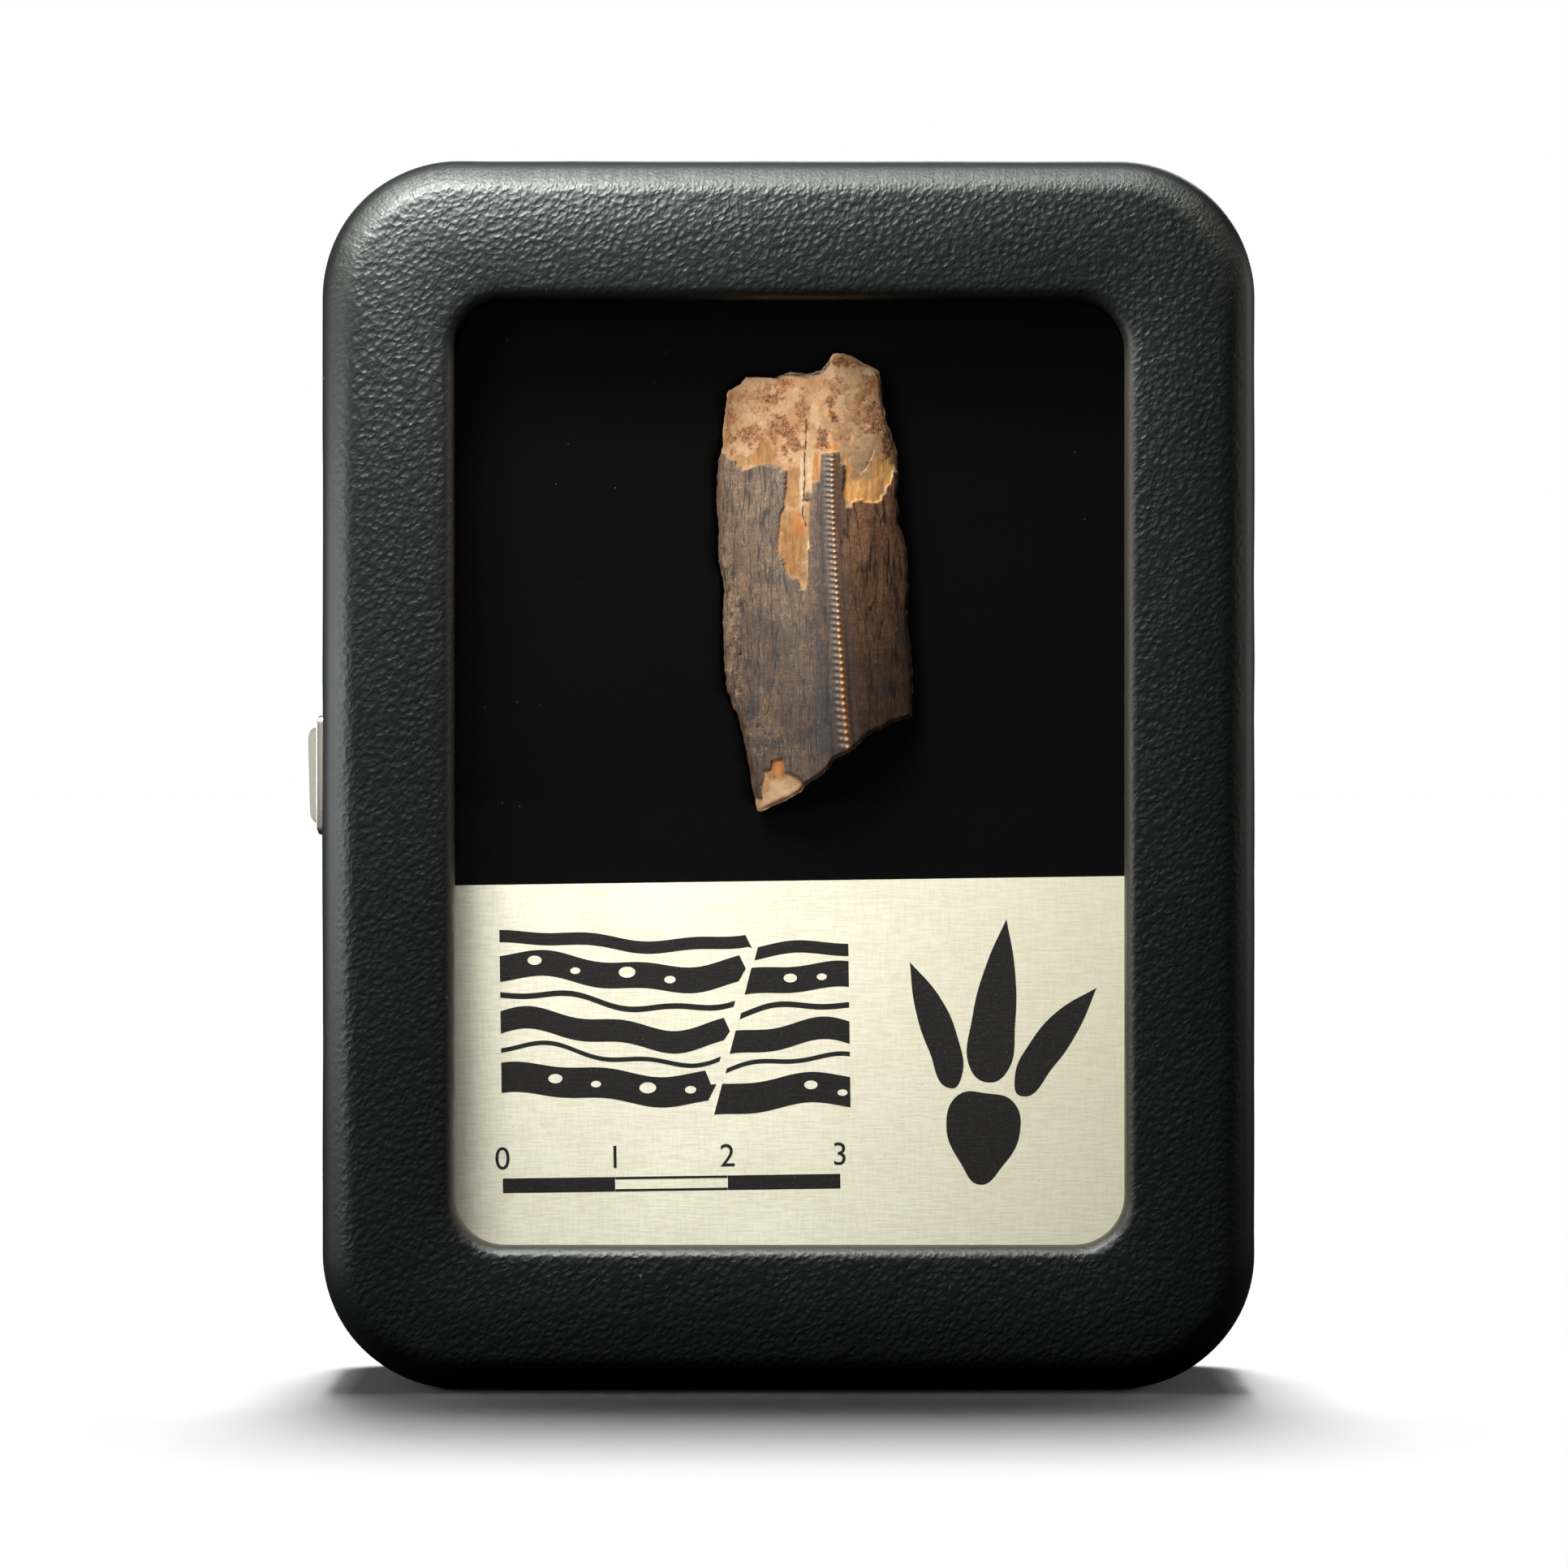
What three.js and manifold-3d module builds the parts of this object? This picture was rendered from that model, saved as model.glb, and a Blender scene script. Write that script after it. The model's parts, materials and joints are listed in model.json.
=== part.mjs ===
// A broken tyrannosaur tooth in a small hinged display case with a glass front.
// Millimetres. +Z is up, the glass faces -Y, and the case stands on its lower edge.
// The origin is on the floor under the middle of the case.

import * as THREE from 'three';
import { mergeVertices } from 'three/addons/utils/BufferGeometryUtils.js';
import Module from 'manifold-3d';

const wasm = await Module();
wasm.setup();

// ---- driving dimensions ----

const CASE_WIDTH = 82;
const CASE_HEIGHT = 108;
const CASE_DEPTH = 25;
const CASE_CORNER_RADIUS = 12;
const CASE_WALL = 4;
const FRONT_EDGE_RADIUS = 3.5;
const BACK_EDGE_RADIUS = 2.5;
const LID_DEPTH = 10;
const LID_PANEL = 2.5;
const BASE_FLOOR = 2.5;
const FIT_GAP = 0.3;

const WINDOW_WIDTH = 58.8;
const WINDOW_HEIGHT = 82.9;
const WINDOW_CORNER_RADIUS = 4.4;
const WINDOW_EDGE_RADIUS = 1.1;
const WINDOW_CENTRE_X = 0.1;
const WINDOW_CENTRE_Z = 54.2;

const GLASS_THICKNESS = 2;
const GLASS_OVERLAP = 3.6;
const RETAINER_DEPTH = 3.4;
const RETAINER_SETBACK = 1;

const PAD_ABOVE_RIM = 0.5;
const RECESS_GAP = 0.35;

const CARD_WIDTH = 68;
const CARD_HEIGHT = 37.1;
const CARD_THICKNESS = 0.4;
const CARD_CORNER_RADIUS = 0.6;
const CARD_BOTTOM = 7.5;
const CARD_TILT = THREE.MathUtils.degToRad(0.8);

const TOOTH_DEPTH = 8.2;
const TOOTH_GLASS_GAP = 0.3;

const HINGE_INSET = 1.2;
const HINGE_LENGTH = 14;
const HINGE_SPREAD = 26;
const KNUCKLE_RADIUS = 1.05;
const KNUCKLE_GAP = 0.2;
const KNUCKLE_CLEARANCE = 0.25;
const PIN_RADIUS = 0.45;
const PIN_CLEARANCE = 0.1;
const PIN_HEAD_RADIUS = 0.8;
const PIN_HEAD_HEIGHT = 0.3;
const LEAF_THICKNESS = 0.5;
const LEAF_SEAT_DEPTH = 0.6;
const RIM_CHAMFER = HINGE_INSET + 0.5;

const CLASP_WIDTH = 10.5;
const CLASP_HEIGHT = 54;
const TONGUE_WIDTH = 7.8;
const CLASP_REACH = 1.3;
const TAB_THICKNESS = 0.45;
const TONGUE_THICKNESS = 0.5;
const TONGUE_OVERLAP = 3.9;
const CATCH_THICKNESS = 0.3;
const CATCH_DEPTH = 5.1;
const BEAD_RADIUS = 0.35;
const BEAD_SETBACK = 1.5;

// ---- places worked out from them ----

const SIDE = CASE_WIDTH / 2;
const FRONT = -CASE_DEPTH / 2;
const BACK = CASE_DEPTH / 2;
const PARTING = FRONT + LID_DEPTH;
const MIDDLE = CASE_HEIGHT / 2;
const GLASS_FRONT = FRONT + LID_PANEL;
const GLASS_REAR = GLASS_FRONT + GLASS_THICKNESS;
const PAD_FRONT = PARTING - PAD_ABOVE_RIM;
const TOOTH_CREST = GLASS_REAR + TOOTH_GLASS_GAP;
const TOOTH_REAR = TOOTH_CREST + TOOTH_DEPTH;
const HINGE_X = SIDE - HINGE_INSET;

// Faces to a quarter turn, and lengths that carry a cutter past what it cuts.
const CURVE_STEPS = 8;
const OVERRUN = 1;
const FAR = 60;

// ---- materials ----

function finish(colour, roughness, metalness = 0) {
  return new THREE.MeshStandardMaterial({ color: colour, roughness, metalness });
}

const LEATHERETTE = [0x1d1f21, 0.55];
const NICKEL = [0xc9c6bd, 0.3, 1];

const display = new THREE.Group();

function addPiece(name, geometry, look) {
  const mesh = new THREE.Mesh(geometry, finish(...look));
  mesh.name = name;
  display.add(mesh);
}

// ---- joining and cutting ----

function solidOf(geometry) {
  const bare = geometry.index ? geometry.toNonIndexed() : geometry.clone();
  bare.deleteAttribute('normal');
  bare.deleteAttribute('uv');
  const merged = mergeVertices(bare, 1e-5);
  return new wasm.Manifold(new wasm.Mesh({
    numProp: 3,
    vertProperties: Float32Array.from(merged.attributes.position.array),
    triVerts: Uint32Array.from(merged.index.array),
  }));
}

function geometryOf(solid) {
  const mesh = solid.getMesh();
  const geometry = new THREE.BufferGeometry();
  geometry.setAttribute('position', new THREE.BufferAttribute(mesh.vertProperties, 3));
  geometry.setIndex(new THREE.BufferAttribute(mesh.triVerts, 1));
  return geometry;
}

// ---- flat shapes in the case's face plane, thickened along Y ----

function roundedOutline(width, height, radius, centreX = 0, centreZ = MIDDLE) {
  const left = centreX - width / 2;
  const right = centreX + width / 2;
  const low = centreZ - height / 2;
  const high = centreZ + height / 2;
  const outline = new THREE.Shape();
  outline.moveTo(left + radius, low);
  outline.lineTo(right - radius, low);
  outline.absarc(right - radius, low + radius, radius, -Math.PI / 2, 0);
  outline.lineTo(right, high - radius);
  outline.absarc(right - radius, high - radius, radius, 0, Math.PI / 2);
  outline.lineTo(left + radius, high);
  outline.absarc(left + radius, high - radius, radius, Math.PI / 2, Math.PI);
  outline.lineTo(left, low + radius);
  outline.absarc(left + radius, low + radius, radius, Math.PI, Math.PI * 1.5);
  return outline;
}

// The slab fills the depth from yFront to yBack; its edges are rounded by edgeRadius at both faces.
function slab(outline, yFront, yBack, edgeRadius = 0, edgeSteps = 6) {
  const geometry = new THREE.ExtrudeGeometry(outline, {
    depth: yBack - yFront - 2 * edgeRadius,
    curveSegments: CURVE_STEPS,
    bevelEnabled: edgeRadius > 0,
    bevelSize: edgeRadius,
    bevelOffset: -edgeRadius,
    bevelThickness: edgeRadius,
    bevelSegments: edgeSteps,
  });
  geometry.rotateX(Math.PI / 2);
  geometry.translate(0, yBack - edgeRadius, 0);
  return solidOf(geometry);
}

function block(xLow, xHigh, yLow, yHigh, zLow, zHigh) {
  const geometry = new THREE.BoxGeometry(xHigh - xLow, yHigh - yLow, zHigh - zLow);
  geometry.translate((xLow + xHigh) / 2, (yLow + yHigh) / 2, (zLow + zHigh) / 2);
  return solidOf(geometry);
}

function uprightRod(radius, x, y, zLow, zHigh, sides = 20) {
  const geometry = new THREE.CylinderGeometry(radius, radius, zHigh - zLow, sides);
  geometry.rotateX(Math.PI / 2);
  geometry.translate(x, y, (zLow + zHigh) / 2);
  return solidOf(geometry);
}

const caseOutline = roundedOutline(CASE_WIDTH, CASE_HEIGHT, CASE_CORNER_RADIUS);
const cavityOutline = roundedOutline(
  CASE_WIDTH - 2 * CASE_WALL,
  CASE_HEIGHT - 2 * CASE_WALL,
  CASE_CORNER_RADIUS - CASE_WALL,
);
const liningOutline = roundedOutline(
  CASE_WIDTH - 2 * (CASE_WALL + FIT_GAP),
  CASE_HEIGHT - 2 * (CASE_WALL + FIT_GAP),
  CASE_CORNER_RADIUS - CASE_WALL - FIT_GAP,
);

function windowOutline(grown) {
  return roundedOutline(
    WINDOW_WIDTH + 2 * grown,
    WINDOW_HEIGHT + 2 * grown,
    WINDOW_CORNER_RADIUS + grown,
    WINDOW_CENTRE_X,
    WINDOW_CENTRE_Z,
  );
}

// ---- hinge places, shared by the two rims and the two hinges ----

const hinges = [
  { place: 'lower', low: MIDDLE - HINGE_SPREAD - HINGE_LENGTH / 2 },
  { place: 'upper', low: MIDDLE + HINGE_SPREAD - HINGE_LENGTH / 2 },
];

const LEAF_INNER = SIDE - CASE_WALL + FIT_GAP;
const LEAF_TAIL = HINGE_X - PIN_RADIUS - KNUCKLE_CLEARANCE;
const KNUCKLE_RELIEF = KNUCKLE_RADIUS + KNUCKLE_CLEARANCE;
const LEAF_EDGE = HINGE_X - KNUCKLE_RELIEF;

// The right-hand rim edge is chamfered over its whole height, so that the lid can turn through more
// than a right angle, and it is grooved and sunk where each hinge lies.
// side is -1 on the lid and 1 on the base.
function makeRoomForHinges(shell, side) {
  const edge = new THREE.Shape();
  edge.moveTo(SIDE - RIM_CHAMFER, PARTING);
  edge.lineTo(SIDE + FIT_GAP, PARTING + side * (RIM_CHAMFER + FIT_GAP));
  edge.lineTo(SIDE + FIT_GAP, PARTING - side * FIT_GAP);
  edge.lineTo(SIDE - RIM_CHAMFER, PARTING - side * FIT_GAP);
  const chamfer = new THREE.ExtrudeGeometry(edge, {
    depth: CASE_HEIGHT + 2 * OVERRUN,
    bevelEnabled: false,
  });
  chamfer.translate(0, 0, -OVERRUN);
  let trimmed = shell.subtract(solidOf(chamfer));
  for (const { low } of hinges) {
    const zLow = low - 2 * FIT_GAP;
    const zHigh = low + HINGE_LENGTH + 2 * FIT_GAP;
    const seat = PARTING + side * LEAF_SEAT_DEPTH;
    const outside = PARTING - side * OVERRUN;
    const sunk = block(
      LEAF_INNER - FIT_GAP,
      HINGE_X,
      Math.min(seat, outside),
      Math.max(seat, outside),
      zLow,
      zHigh,
    );
    const groove = uprightRod(KNUCKLE_RELIEF, HINGE_X, PARTING, zLow, zHigh);
    trimmed = trimmed.subtract(sunk).subtract(groove);
  }
  return trimmed;
}

// ---- base: a leatherette-covered tray, open to the front ----

function baseShell() {
  const body = slab(caseOutline, PARTING - FAR, BACK, BACK_EDGE_RADIUS)
    .subtract(block(-FAR, FAR, PARTING - 2 * FAR, PARTING, -FAR, CASE_HEIGHT + FAR));
  const hollow = slab(cavityOutline, PARTING - OVERRUN, BACK - BASE_FLOOR);
  return makeRoomForHinges(body.subtract(hollow), 1);
}

addPiece('base_shell', geometryOf(baseShell()), LEATHERETTE);

// ---- lid: a leatherette-covered frame round the window, hollow behind ----

function lidFrame() {
  const body = slab(caseOutline, FRONT, PARTING + FAR, FRONT_EDGE_RADIUS)
    .subtract(block(-FAR, FAR, PARTING, PARTING + 2 * FAR, -FAR, CASE_HEIGHT + FAR));
  const pierced = roundedOutline(CASE_WIDTH + FAR, CASE_HEIGHT + FAR, CASE_CORNER_RADIUS);
  pierced.holes.push(windowOutline(0));
  const rolledEdge = slab(pierced, FRONT, PARTING + FAR, WINDOW_EDGE_RADIUS, 3);
  const hollow = slab(cavityOutline, GLASS_FRONT, PARTING + OVERRUN);
  return makeRoomForHinges(body.intersect(rolledEdge).subtract(hollow), -1);
}

addPiece('lid_frame', geometryOf(lidFrame()), LEATHERETTE);

// ---- pane, and the ring that holds it against the back of the window ----

const paneOutline = windowOutline(GLASS_OVERLAP);
const pane = slab(paneOutline, GLASS_FRONT, GLASS_REAR);
addPiece('glass_pane', geometryOf(pane), [0xdfe7e6, 0.05]);

function glassRetainer() {
  const ring = slab(liningOutline, GLASS_FRONT, GLASS_FRONT + RETAINER_DEPTH);
  const rebate = slab(windowOutline(GLASS_OVERLAP + FIT_GAP), GLASS_FRONT - OVERRUN, GLASS_REAR);
  const sight = slab(windowOutline(RETAINER_SETBACK), GLASS_FRONT - OVERRUN, PARTING);
  return ring.subtract(rebate).subtract(sight);
}

addPiece('glass_retainer', geometryOf(glassRetainer()), [0x101010, 0.9]);

// ---- tooth: a fragment of the crown, broken all round, with its serrated ridge to the front ----

// Each edge of the fragment, in X and Z, seen from the front.
const LEFT_BREAK = [
  [-2.75, 50.8], [-3.3, 53.1], [-3.7, 56.4], [-4.3, 58.4], [-4.6, 59.7], [-5.45, 61.3], [-5.75, 65.1],
  [-5.7, 70.4], [-6.2, 72.8], [-6.2, 75.8], [-6.4, 78.3], [-6.25, 81.9], [-5.85, 83], [-5.4, 88.2],
];
const RIGHT_BREAK = [
  [10.95, 59.3], [11.05, 62.5], [10.55, 68.5], [10.75, 70.5], [10.6, 73.2], [10.25, 75.1], [9.8, 76.1],
  [9.6, 78.7], [9.8, 80], [9.7, 82.6], [8.65, 85.4], [8.3, 87.4], [7.95, 89.7],
];
const LOWER_BREAK = [
  [-2.75, 50.8], [-1.6, 51.1], [0, 51.8], [1.1, 52.5], [1.45, 53], [2.7, 53.8], [4, 55.3], [5.5, 56.1],
  [6.9, 57.3], [8.2, 57.9], [9.3, 58.6], [10.95, 59.3],
];
const UPPER_BREAK = [
  [-5.4, 88.2], [-4.3, 88.6], [-3.7, 89.3], [-1.1, 89.2], [0.2, 89.7], [1.6, 89.4], [2.95, 89.8],
  [3.9, 91.2], [4.8, 91.3], [5.7, 91], [6.5, 90.4], [7.95, 89.7],
];

function edgeCurve(corners) {
  return new THREE.SplineCurve(corners.map(([x, z]) => new THREE.Vector2(x, z)));
}

const leftEdge = edgeCurve(LEFT_BREAK);
const rightEdge = edgeCurve(RIGHT_BREAK);
const lowerEdge = edgeCurve(LOWER_BREAK);
const upperEdge = edgeCurve(UPPER_BREAK);

// A point of the fragment's face from its share across (0 left, 1 right) and up (0 low, 1 high).
function facePoint(across, up) {
  const low = lowerEdge.getPointAt(across);
  const high = upperEdge.getPointAt(across);
  const left = leftEdge.getPointAt(up);
  const right = rightEdge.getPointAt(up);
  const point = low.multiplyScalar(1 - up).addScaledVector(high, up);
  point.addScaledVector(left, 1 - across).addScaledVector(right, across);
  point.addScaledVector(leftEdge.getPointAt(0), -(1 - across) * (1 - up));
  point.addScaledVector(leftEdge.getPointAt(1), -(1 - across) * up);
  point.addScaledVector(rightEdge.getPointAt(0), -across * (1 - up));
  point.addScaledVector(rightEdge.getPointAt(1), -across * up);
  return point;
}

// The ridge runs up the face, and both flanks fall away from it in a convex curve.
const RIDGE_LOW = new THREE.Vector2(5.25, 56);
const RIDGE_HIGH = new THREE.Vector2(3.85, 82);
const RIDGE_SLOPE = 0.08;
const LEFT_FALL = 0.035;
const RIGHT_FALL = 0.065;
const CREST_BOW = 0.0011;
const TOOTH_MIDDLE = 70;
const REAR_HOLLOWS = 0.35;

function crownDepth(x, z) {
  const share = (z - RIDGE_LOW.y) / (RIDGE_HIGH.y - RIDGE_LOW.y);
  const aside = x - THREE.MathUtils.lerp(RIDGE_LOW.x, RIDGE_HIGH.x, share);
  const fall = aside < 0 ? LEFT_FALL : RIGHT_FALL;
  const bow = CREST_BOW * (z - TOOTH_MIDDLE) ** 2;
  return TOOTH_CREST + RIDGE_SLOPE * Math.abs(aside) + fall * aside ** 2 + bow;
}

// The back is an uneven fracture, with shallow hollows about 4 mm apart.
function fractureDepth(x, z) {
  return TOOTH_REAR - REAR_HOLLOWS * (1 + Math.sin(1.7 * x + 0.9 * z) * Math.cos(0.8 * z));
}

function toothFragment() {
  const geometry = new THREE.BoxGeometry(1, 1, 1, 16, 2, 30);
  const position = geometry.attributes.position;
  for (let i = 0; i < position.count; i++) {
    const across = position.getX(i) + 0.5;
    const up = position.getZ(i) + 0.5;
    const inward = position.getY(i) + 0.5;
    const { x, y: z } = facePoint(across, up);
    position.setXYZ(i, x, THREE.MathUtils.lerp(crownDepth(x, z), fractureDepth(x, z), inward), z);
  }
  return solidOf(geometry);
}

addPiece('tooth', geometryOf(toothFragment()), [0x6d5a49, 0.5]);

// ---- pad: black foam that fills the base, with a recess in which the tooth lies ----

function toothOutline() {
  const steps = 28;
  const edge = (curve) => curve.getSpacedPoints(steps).slice(0, steps);
  const backwards = (curve) => curve.getSpacedPoints(steps).reverse().slice(0, steps);
  return new THREE.Shape([
    ...edge(lowerEdge),
    ...edge(rightEdge),
    ...backwards(upperEdge),
    ...backwards(leftEdge),
  ]);
}

function backingPad() {
  const foam = slab(liningOutline, PAD_FRONT, BACK - BASE_FLOOR);
  const pocket = new THREE.ExtrudeGeometry(toothOutline(), {
    depth: TOOTH_REAR - PAD_FRONT + OVERRUN,
    bevelEnabled: true,
    bevelSize: RECESS_GAP,
    bevelThickness: FIT_GAP,
    bevelSegments: 1,
  });
  pocket.rotateX(Math.PI / 2);
  pocket.translate(0, TOOTH_REAR, 0);
  return foam.subtract(solidOf(pocket));
}

addPiece('backing_pad', geometryOf(backingPad()), [0x0e0e0e, 0.95]);

// ---- label card, laid on the pad a little out of level ----

function labelCard() {
  const geometry = new THREE.ExtrudeGeometry(
    roundedOutline(CARD_WIDTH, CARD_HEIGHT, CARD_CORNER_RADIUS, 0, 0),
    { depth: CARD_THICKNESS, curveSegments: 2, bevelEnabled: false },
  );
  geometry.rotateZ(CARD_TILT);
  geometry.rotateX(Math.PI / 2);
  geometry.translate(0, PAD_FRONT, CARD_BOTTOM + CARD_HEIGHT / 2);
  return geometry;
}

addPiece('label_card', geometryOf(solidOf(labelCard())), [0xe6dfc8, 0.85]);

// ---- hinges: two leaves and a pin each, let into the right-hand rims ----

// A leaf lies in its rim and carries one or two knuckles, each a length of tube round the pin.
function hingeLeaf(low, side, knuckles) {
  const seat = PARTING + side * LEAF_SEAT_DEPTH;
  const face = seat - side * LEAF_THICKNESS;
  const yLow = Math.min(seat, face);
  const yHigh = Math.max(seat, face);
  let leaf = block(LEAF_INNER, LEAF_EDGE, yLow, yHigh, low, low + HINGE_LENGTH);
  for (const [from, to] of knuckles) {
    const zLow = low + from;
    const zHigh = low + to;
    const tail = block(LEAF_INNER, LEAF_TAIL, yLow, yHigh, zLow, zHigh);
    const barrel = uprightRod(KNUCKLE_RADIUS, HINGE_X, PARTING, zLow, zHigh);
    leaf = leaf.add(tail).add(barrel);
  }
  const boreRadius = PIN_RADIUS + PIN_CLEARANCE;
  const boreHigh = low + HINGE_LENGTH + OVERRUN;
  return leaf.subtract(uprightRod(boreRadius, HINGE_X, PARTING, low - OVERRUN, boreHigh));
}

// The pin has a small head at each end.
function hingePin(low) {
  const shaftLow = -HINGE_LENGTH / 2 - PIN_CLEARANCE;
  const headLow = shaftLow - PIN_HEAD_HEIGHT;
  const profile = [
    [0, headLow],
    [PIN_HEAD_RADIUS, headLow],
    [PIN_HEAD_RADIUS, shaftLow],
    [PIN_RADIUS, shaftLow],
    [PIN_RADIUS, -shaftLow],
    [PIN_HEAD_RADIUS, -shaftLow],
    [PIN_HEAD_RADIUS, -headLow],
    [0, -headLow],
  ].map(([radius, height]) => new THREE.Vector2(radius, height));
  const geometry = new THREE.LatheGeometry(profile, 16);
  geometry.rotateX(Math.PI / 2);
  geometry.translate(HINGE_X, PARTING, low + HINGE_LENGTH / 2);
  return solidOf(geometry);
}

const third = (HINGE_LENGTH - 2 * KNUCKLE_GAP) / 3;
const outerKnuckles = [
  [0, third],
  [HINGE_LENGTH - third, HINGE_LENGTH],
];
const middleKnuckle = [[third + KNUCKLE_GAP, 2 * third + KNUCKLE_GAP]];

for (const { place, low } of hinges) {
  addPiece(`hinge_leaf_base_${place}`, geometryOf(hingeLeaf(low, 1, outerKnuckles)), NICKEL);
  addPiece(`hinge_leaf_lid_${place}`, geometryOf(hingeLeaf(low, -1, middleKnuckle)), NICKEL);
  addPiece(`hinge_pin_${place}`, geometryOf(hingePin(low)), NICKEL);
}

// ---- clasp on the left side: a spring tab on the lid reaches over a beaded catch on the base ----

const SEAM_MARGIN = 0.5;
const TAB_FRONT = FRONT + FRONT_EDGE_RADIUS + 0.4;
const TAB_REAR = PARTING - SEAM_MARGIN;
const TONGUE_ROOT = TAB_FRONT + 1.4;
const TONGUE_TIP = PARTING + TONGUE_OVERLAP;

// A profile in X (out from the side of the case) and Y, run along Z over the given width.
function sideProfile(outline, width) {
  const geometry = new THREE.ExtrudeGeometry(outline, {
    depth: width,
    curveSegments: 8,
    bevelEnabled: false,
  });
  geometry.translate(0, 0, CLASP_HEIGHT - width / 2);
  return solidOf(geometry);
}

function claspTab() {
  const plate = block(
    -SIDE - TAB_THICKNESS,
    -SIDE,
    TAB_FRONT,
    TAB_REAR,
    CLASP_HEIGHT - CLASP_WIDTH / 2,
    CLASP_HEIGHT + CLASP_WIDTH / 2,
  );
  const outer = -SIDE - CLASP_REACH;
  const inner = outer + TONGUE_THICKNESS;
  const tipRadius = TONGUE_THICKNESS / 2;
  const tongue = new THREE.Shape();
  tongue.moveTo(-SIDE - TAB_THICKNESS / 2, TONGUE_ROOT);
  tongue.lineTo(-SIDE - TAB_THICKNESS, TONGUE_ROOT);
  tongue.quadraticCurveTo(outer, TONGUE_ROOT + 0.2, outer, TONGUE_ROOT + 1.6);
  tongue.lineTo(outer, TONGUE_TIP - tipRadius);
  tongue.absarc(outer + tipRadius, TONGUE_TIP - tipRadius, tipRadius, Math.PI, 0, true);
  tongue.lineTo(inner, TAB_REAR - 0.2);
  tongue.lineTo(-SIDE - TAB_THICKNESS / 2, TAB_REAR - 0.4);
  return plate.add(sideProfile(tongue, TONGUE_WIDTH));
}

addPiece('clasp_tab', geometryOf(claspTab()), NICKEL);

function claspCatch() {
  const plate = block(
    -SIDE - CATCH_THICKNESS,
    -SIDE,
    PARTING + SEAM_MARGIN,
    PARTING + SEAM_MARGIN + CATCH_DEPTH,
    CLASP_HEIGHT - CLASP_WIDTH / 2,
    CLASP_HEIGHT + CLASP_WIDTH / 2,
  );
  const bead = uprightRod(
    BEAD_RADIUS,
    -SIDE - CATCH_THICKNESS / 2,
    PARTING + BEAD_SETBACK,
    CLASP_HEIGHT - TONGUE_WIDTH / 2,
    CLASP_HEIGHT + TONGUE_WIDTH / 2,
    16,
  ).subtract(block(-SIDE, FAR, -FAR, FAR, -FAR, CASE_HEIGHT + FAR));
  return plate.add(bead);
}

addPiece('clasp_catch', geometryOf(claspCatch()), NICKEL);

export default display;
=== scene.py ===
import json
import math

import bmesh
import bpy
import numpy as np
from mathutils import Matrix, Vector, noise

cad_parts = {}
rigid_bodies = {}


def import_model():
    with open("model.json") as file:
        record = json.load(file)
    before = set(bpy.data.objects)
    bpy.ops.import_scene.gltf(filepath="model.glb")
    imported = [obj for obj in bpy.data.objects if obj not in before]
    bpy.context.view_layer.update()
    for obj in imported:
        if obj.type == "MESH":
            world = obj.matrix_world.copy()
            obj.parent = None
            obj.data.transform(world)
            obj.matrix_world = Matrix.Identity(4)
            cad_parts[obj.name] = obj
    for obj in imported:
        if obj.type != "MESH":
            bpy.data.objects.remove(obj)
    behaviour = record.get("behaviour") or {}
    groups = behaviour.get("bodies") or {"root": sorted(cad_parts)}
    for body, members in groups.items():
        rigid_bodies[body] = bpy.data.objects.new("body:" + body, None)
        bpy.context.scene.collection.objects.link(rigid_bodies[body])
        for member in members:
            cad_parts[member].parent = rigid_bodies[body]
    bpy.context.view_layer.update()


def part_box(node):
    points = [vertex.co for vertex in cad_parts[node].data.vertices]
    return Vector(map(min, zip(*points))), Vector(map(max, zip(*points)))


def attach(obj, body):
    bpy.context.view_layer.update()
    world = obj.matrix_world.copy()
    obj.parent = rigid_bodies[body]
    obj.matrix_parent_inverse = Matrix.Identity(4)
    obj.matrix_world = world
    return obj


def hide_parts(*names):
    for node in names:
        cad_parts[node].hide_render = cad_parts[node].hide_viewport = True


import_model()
bpy.ops.object.select_all(action="DESELECT")
MM = 0.001


# ---- camera: level with the middle of the case and square to the glass, through a long lens ----
PIXELS_PER_MM = 14.0
PICTURE_PIXELS = 1932
CASE_MIDDLE_PIXEL = 971.5
FLOOR_PIXEL = 1711
SENSOR = 36.0
LENS = 130.0
OUTLINE_SETBACK = 3.5 * MM

picture_width = PICTURE_PIXELS / PIXELS_PER_MM * MM
camera_distance = picture_width * LENS / SENSOR
camera_data = bpy.data.cameras.new("camera")
camera_data.lens = LENS
camera_data.sensor_width = SENSOR
camera_data.clip_start = 0.01
camera = bpy.data.objects.new("camera", camera_data)
camera.location = (
    (PICTURE_PIXELS / 2 - CASE_MIDDLE_PIXEL) / PIXELS_PER_MM * MM,
    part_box("lid_frame")[0].y + OUTLINE_SETBACK - camera_distance,
    (FLOOR_PIXEL - PICTURE_PIXELS / 2) / PIXELS_PER_MM * MM,
)
camera.rotation_euler = (math.pi / 2, 0, 0)
bpy.context.collection.objects.link(camera)
bpy.context.scene.camera = camera


# ---- base: a stiff tray covered in black leatherette, which is glued over it and turned in ----
# The covering runs in one piece over the back and sides and over the rim. The rim is bevelled on
# the hinge side, so that the lid can turn, and is sunk where the hinge leaves are glued in.
base_low, base_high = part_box("base_shell")
lid_low, lid_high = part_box("lid_frame")
PARTING = base_low.y
CORNER_RADIUS = 12 * MM
CORNER_STEPS = 24
WALL = 4 * MM
BASE_FLOOR = 2.5 * MM
BACK_EDGE_RADIUS = 2.5 * MM
BACK_INSET = 1.8 * MM
RIM_OUTER_EDGE = 0.5 * MM
RIM_INNER_EDGE = 0.3 * MM
LONG_RUN = 30 * MM
SHORT_RUN = 3 * MM
NEAR = 0.05 * MM
DOUBLES = 0.002 * MM

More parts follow.
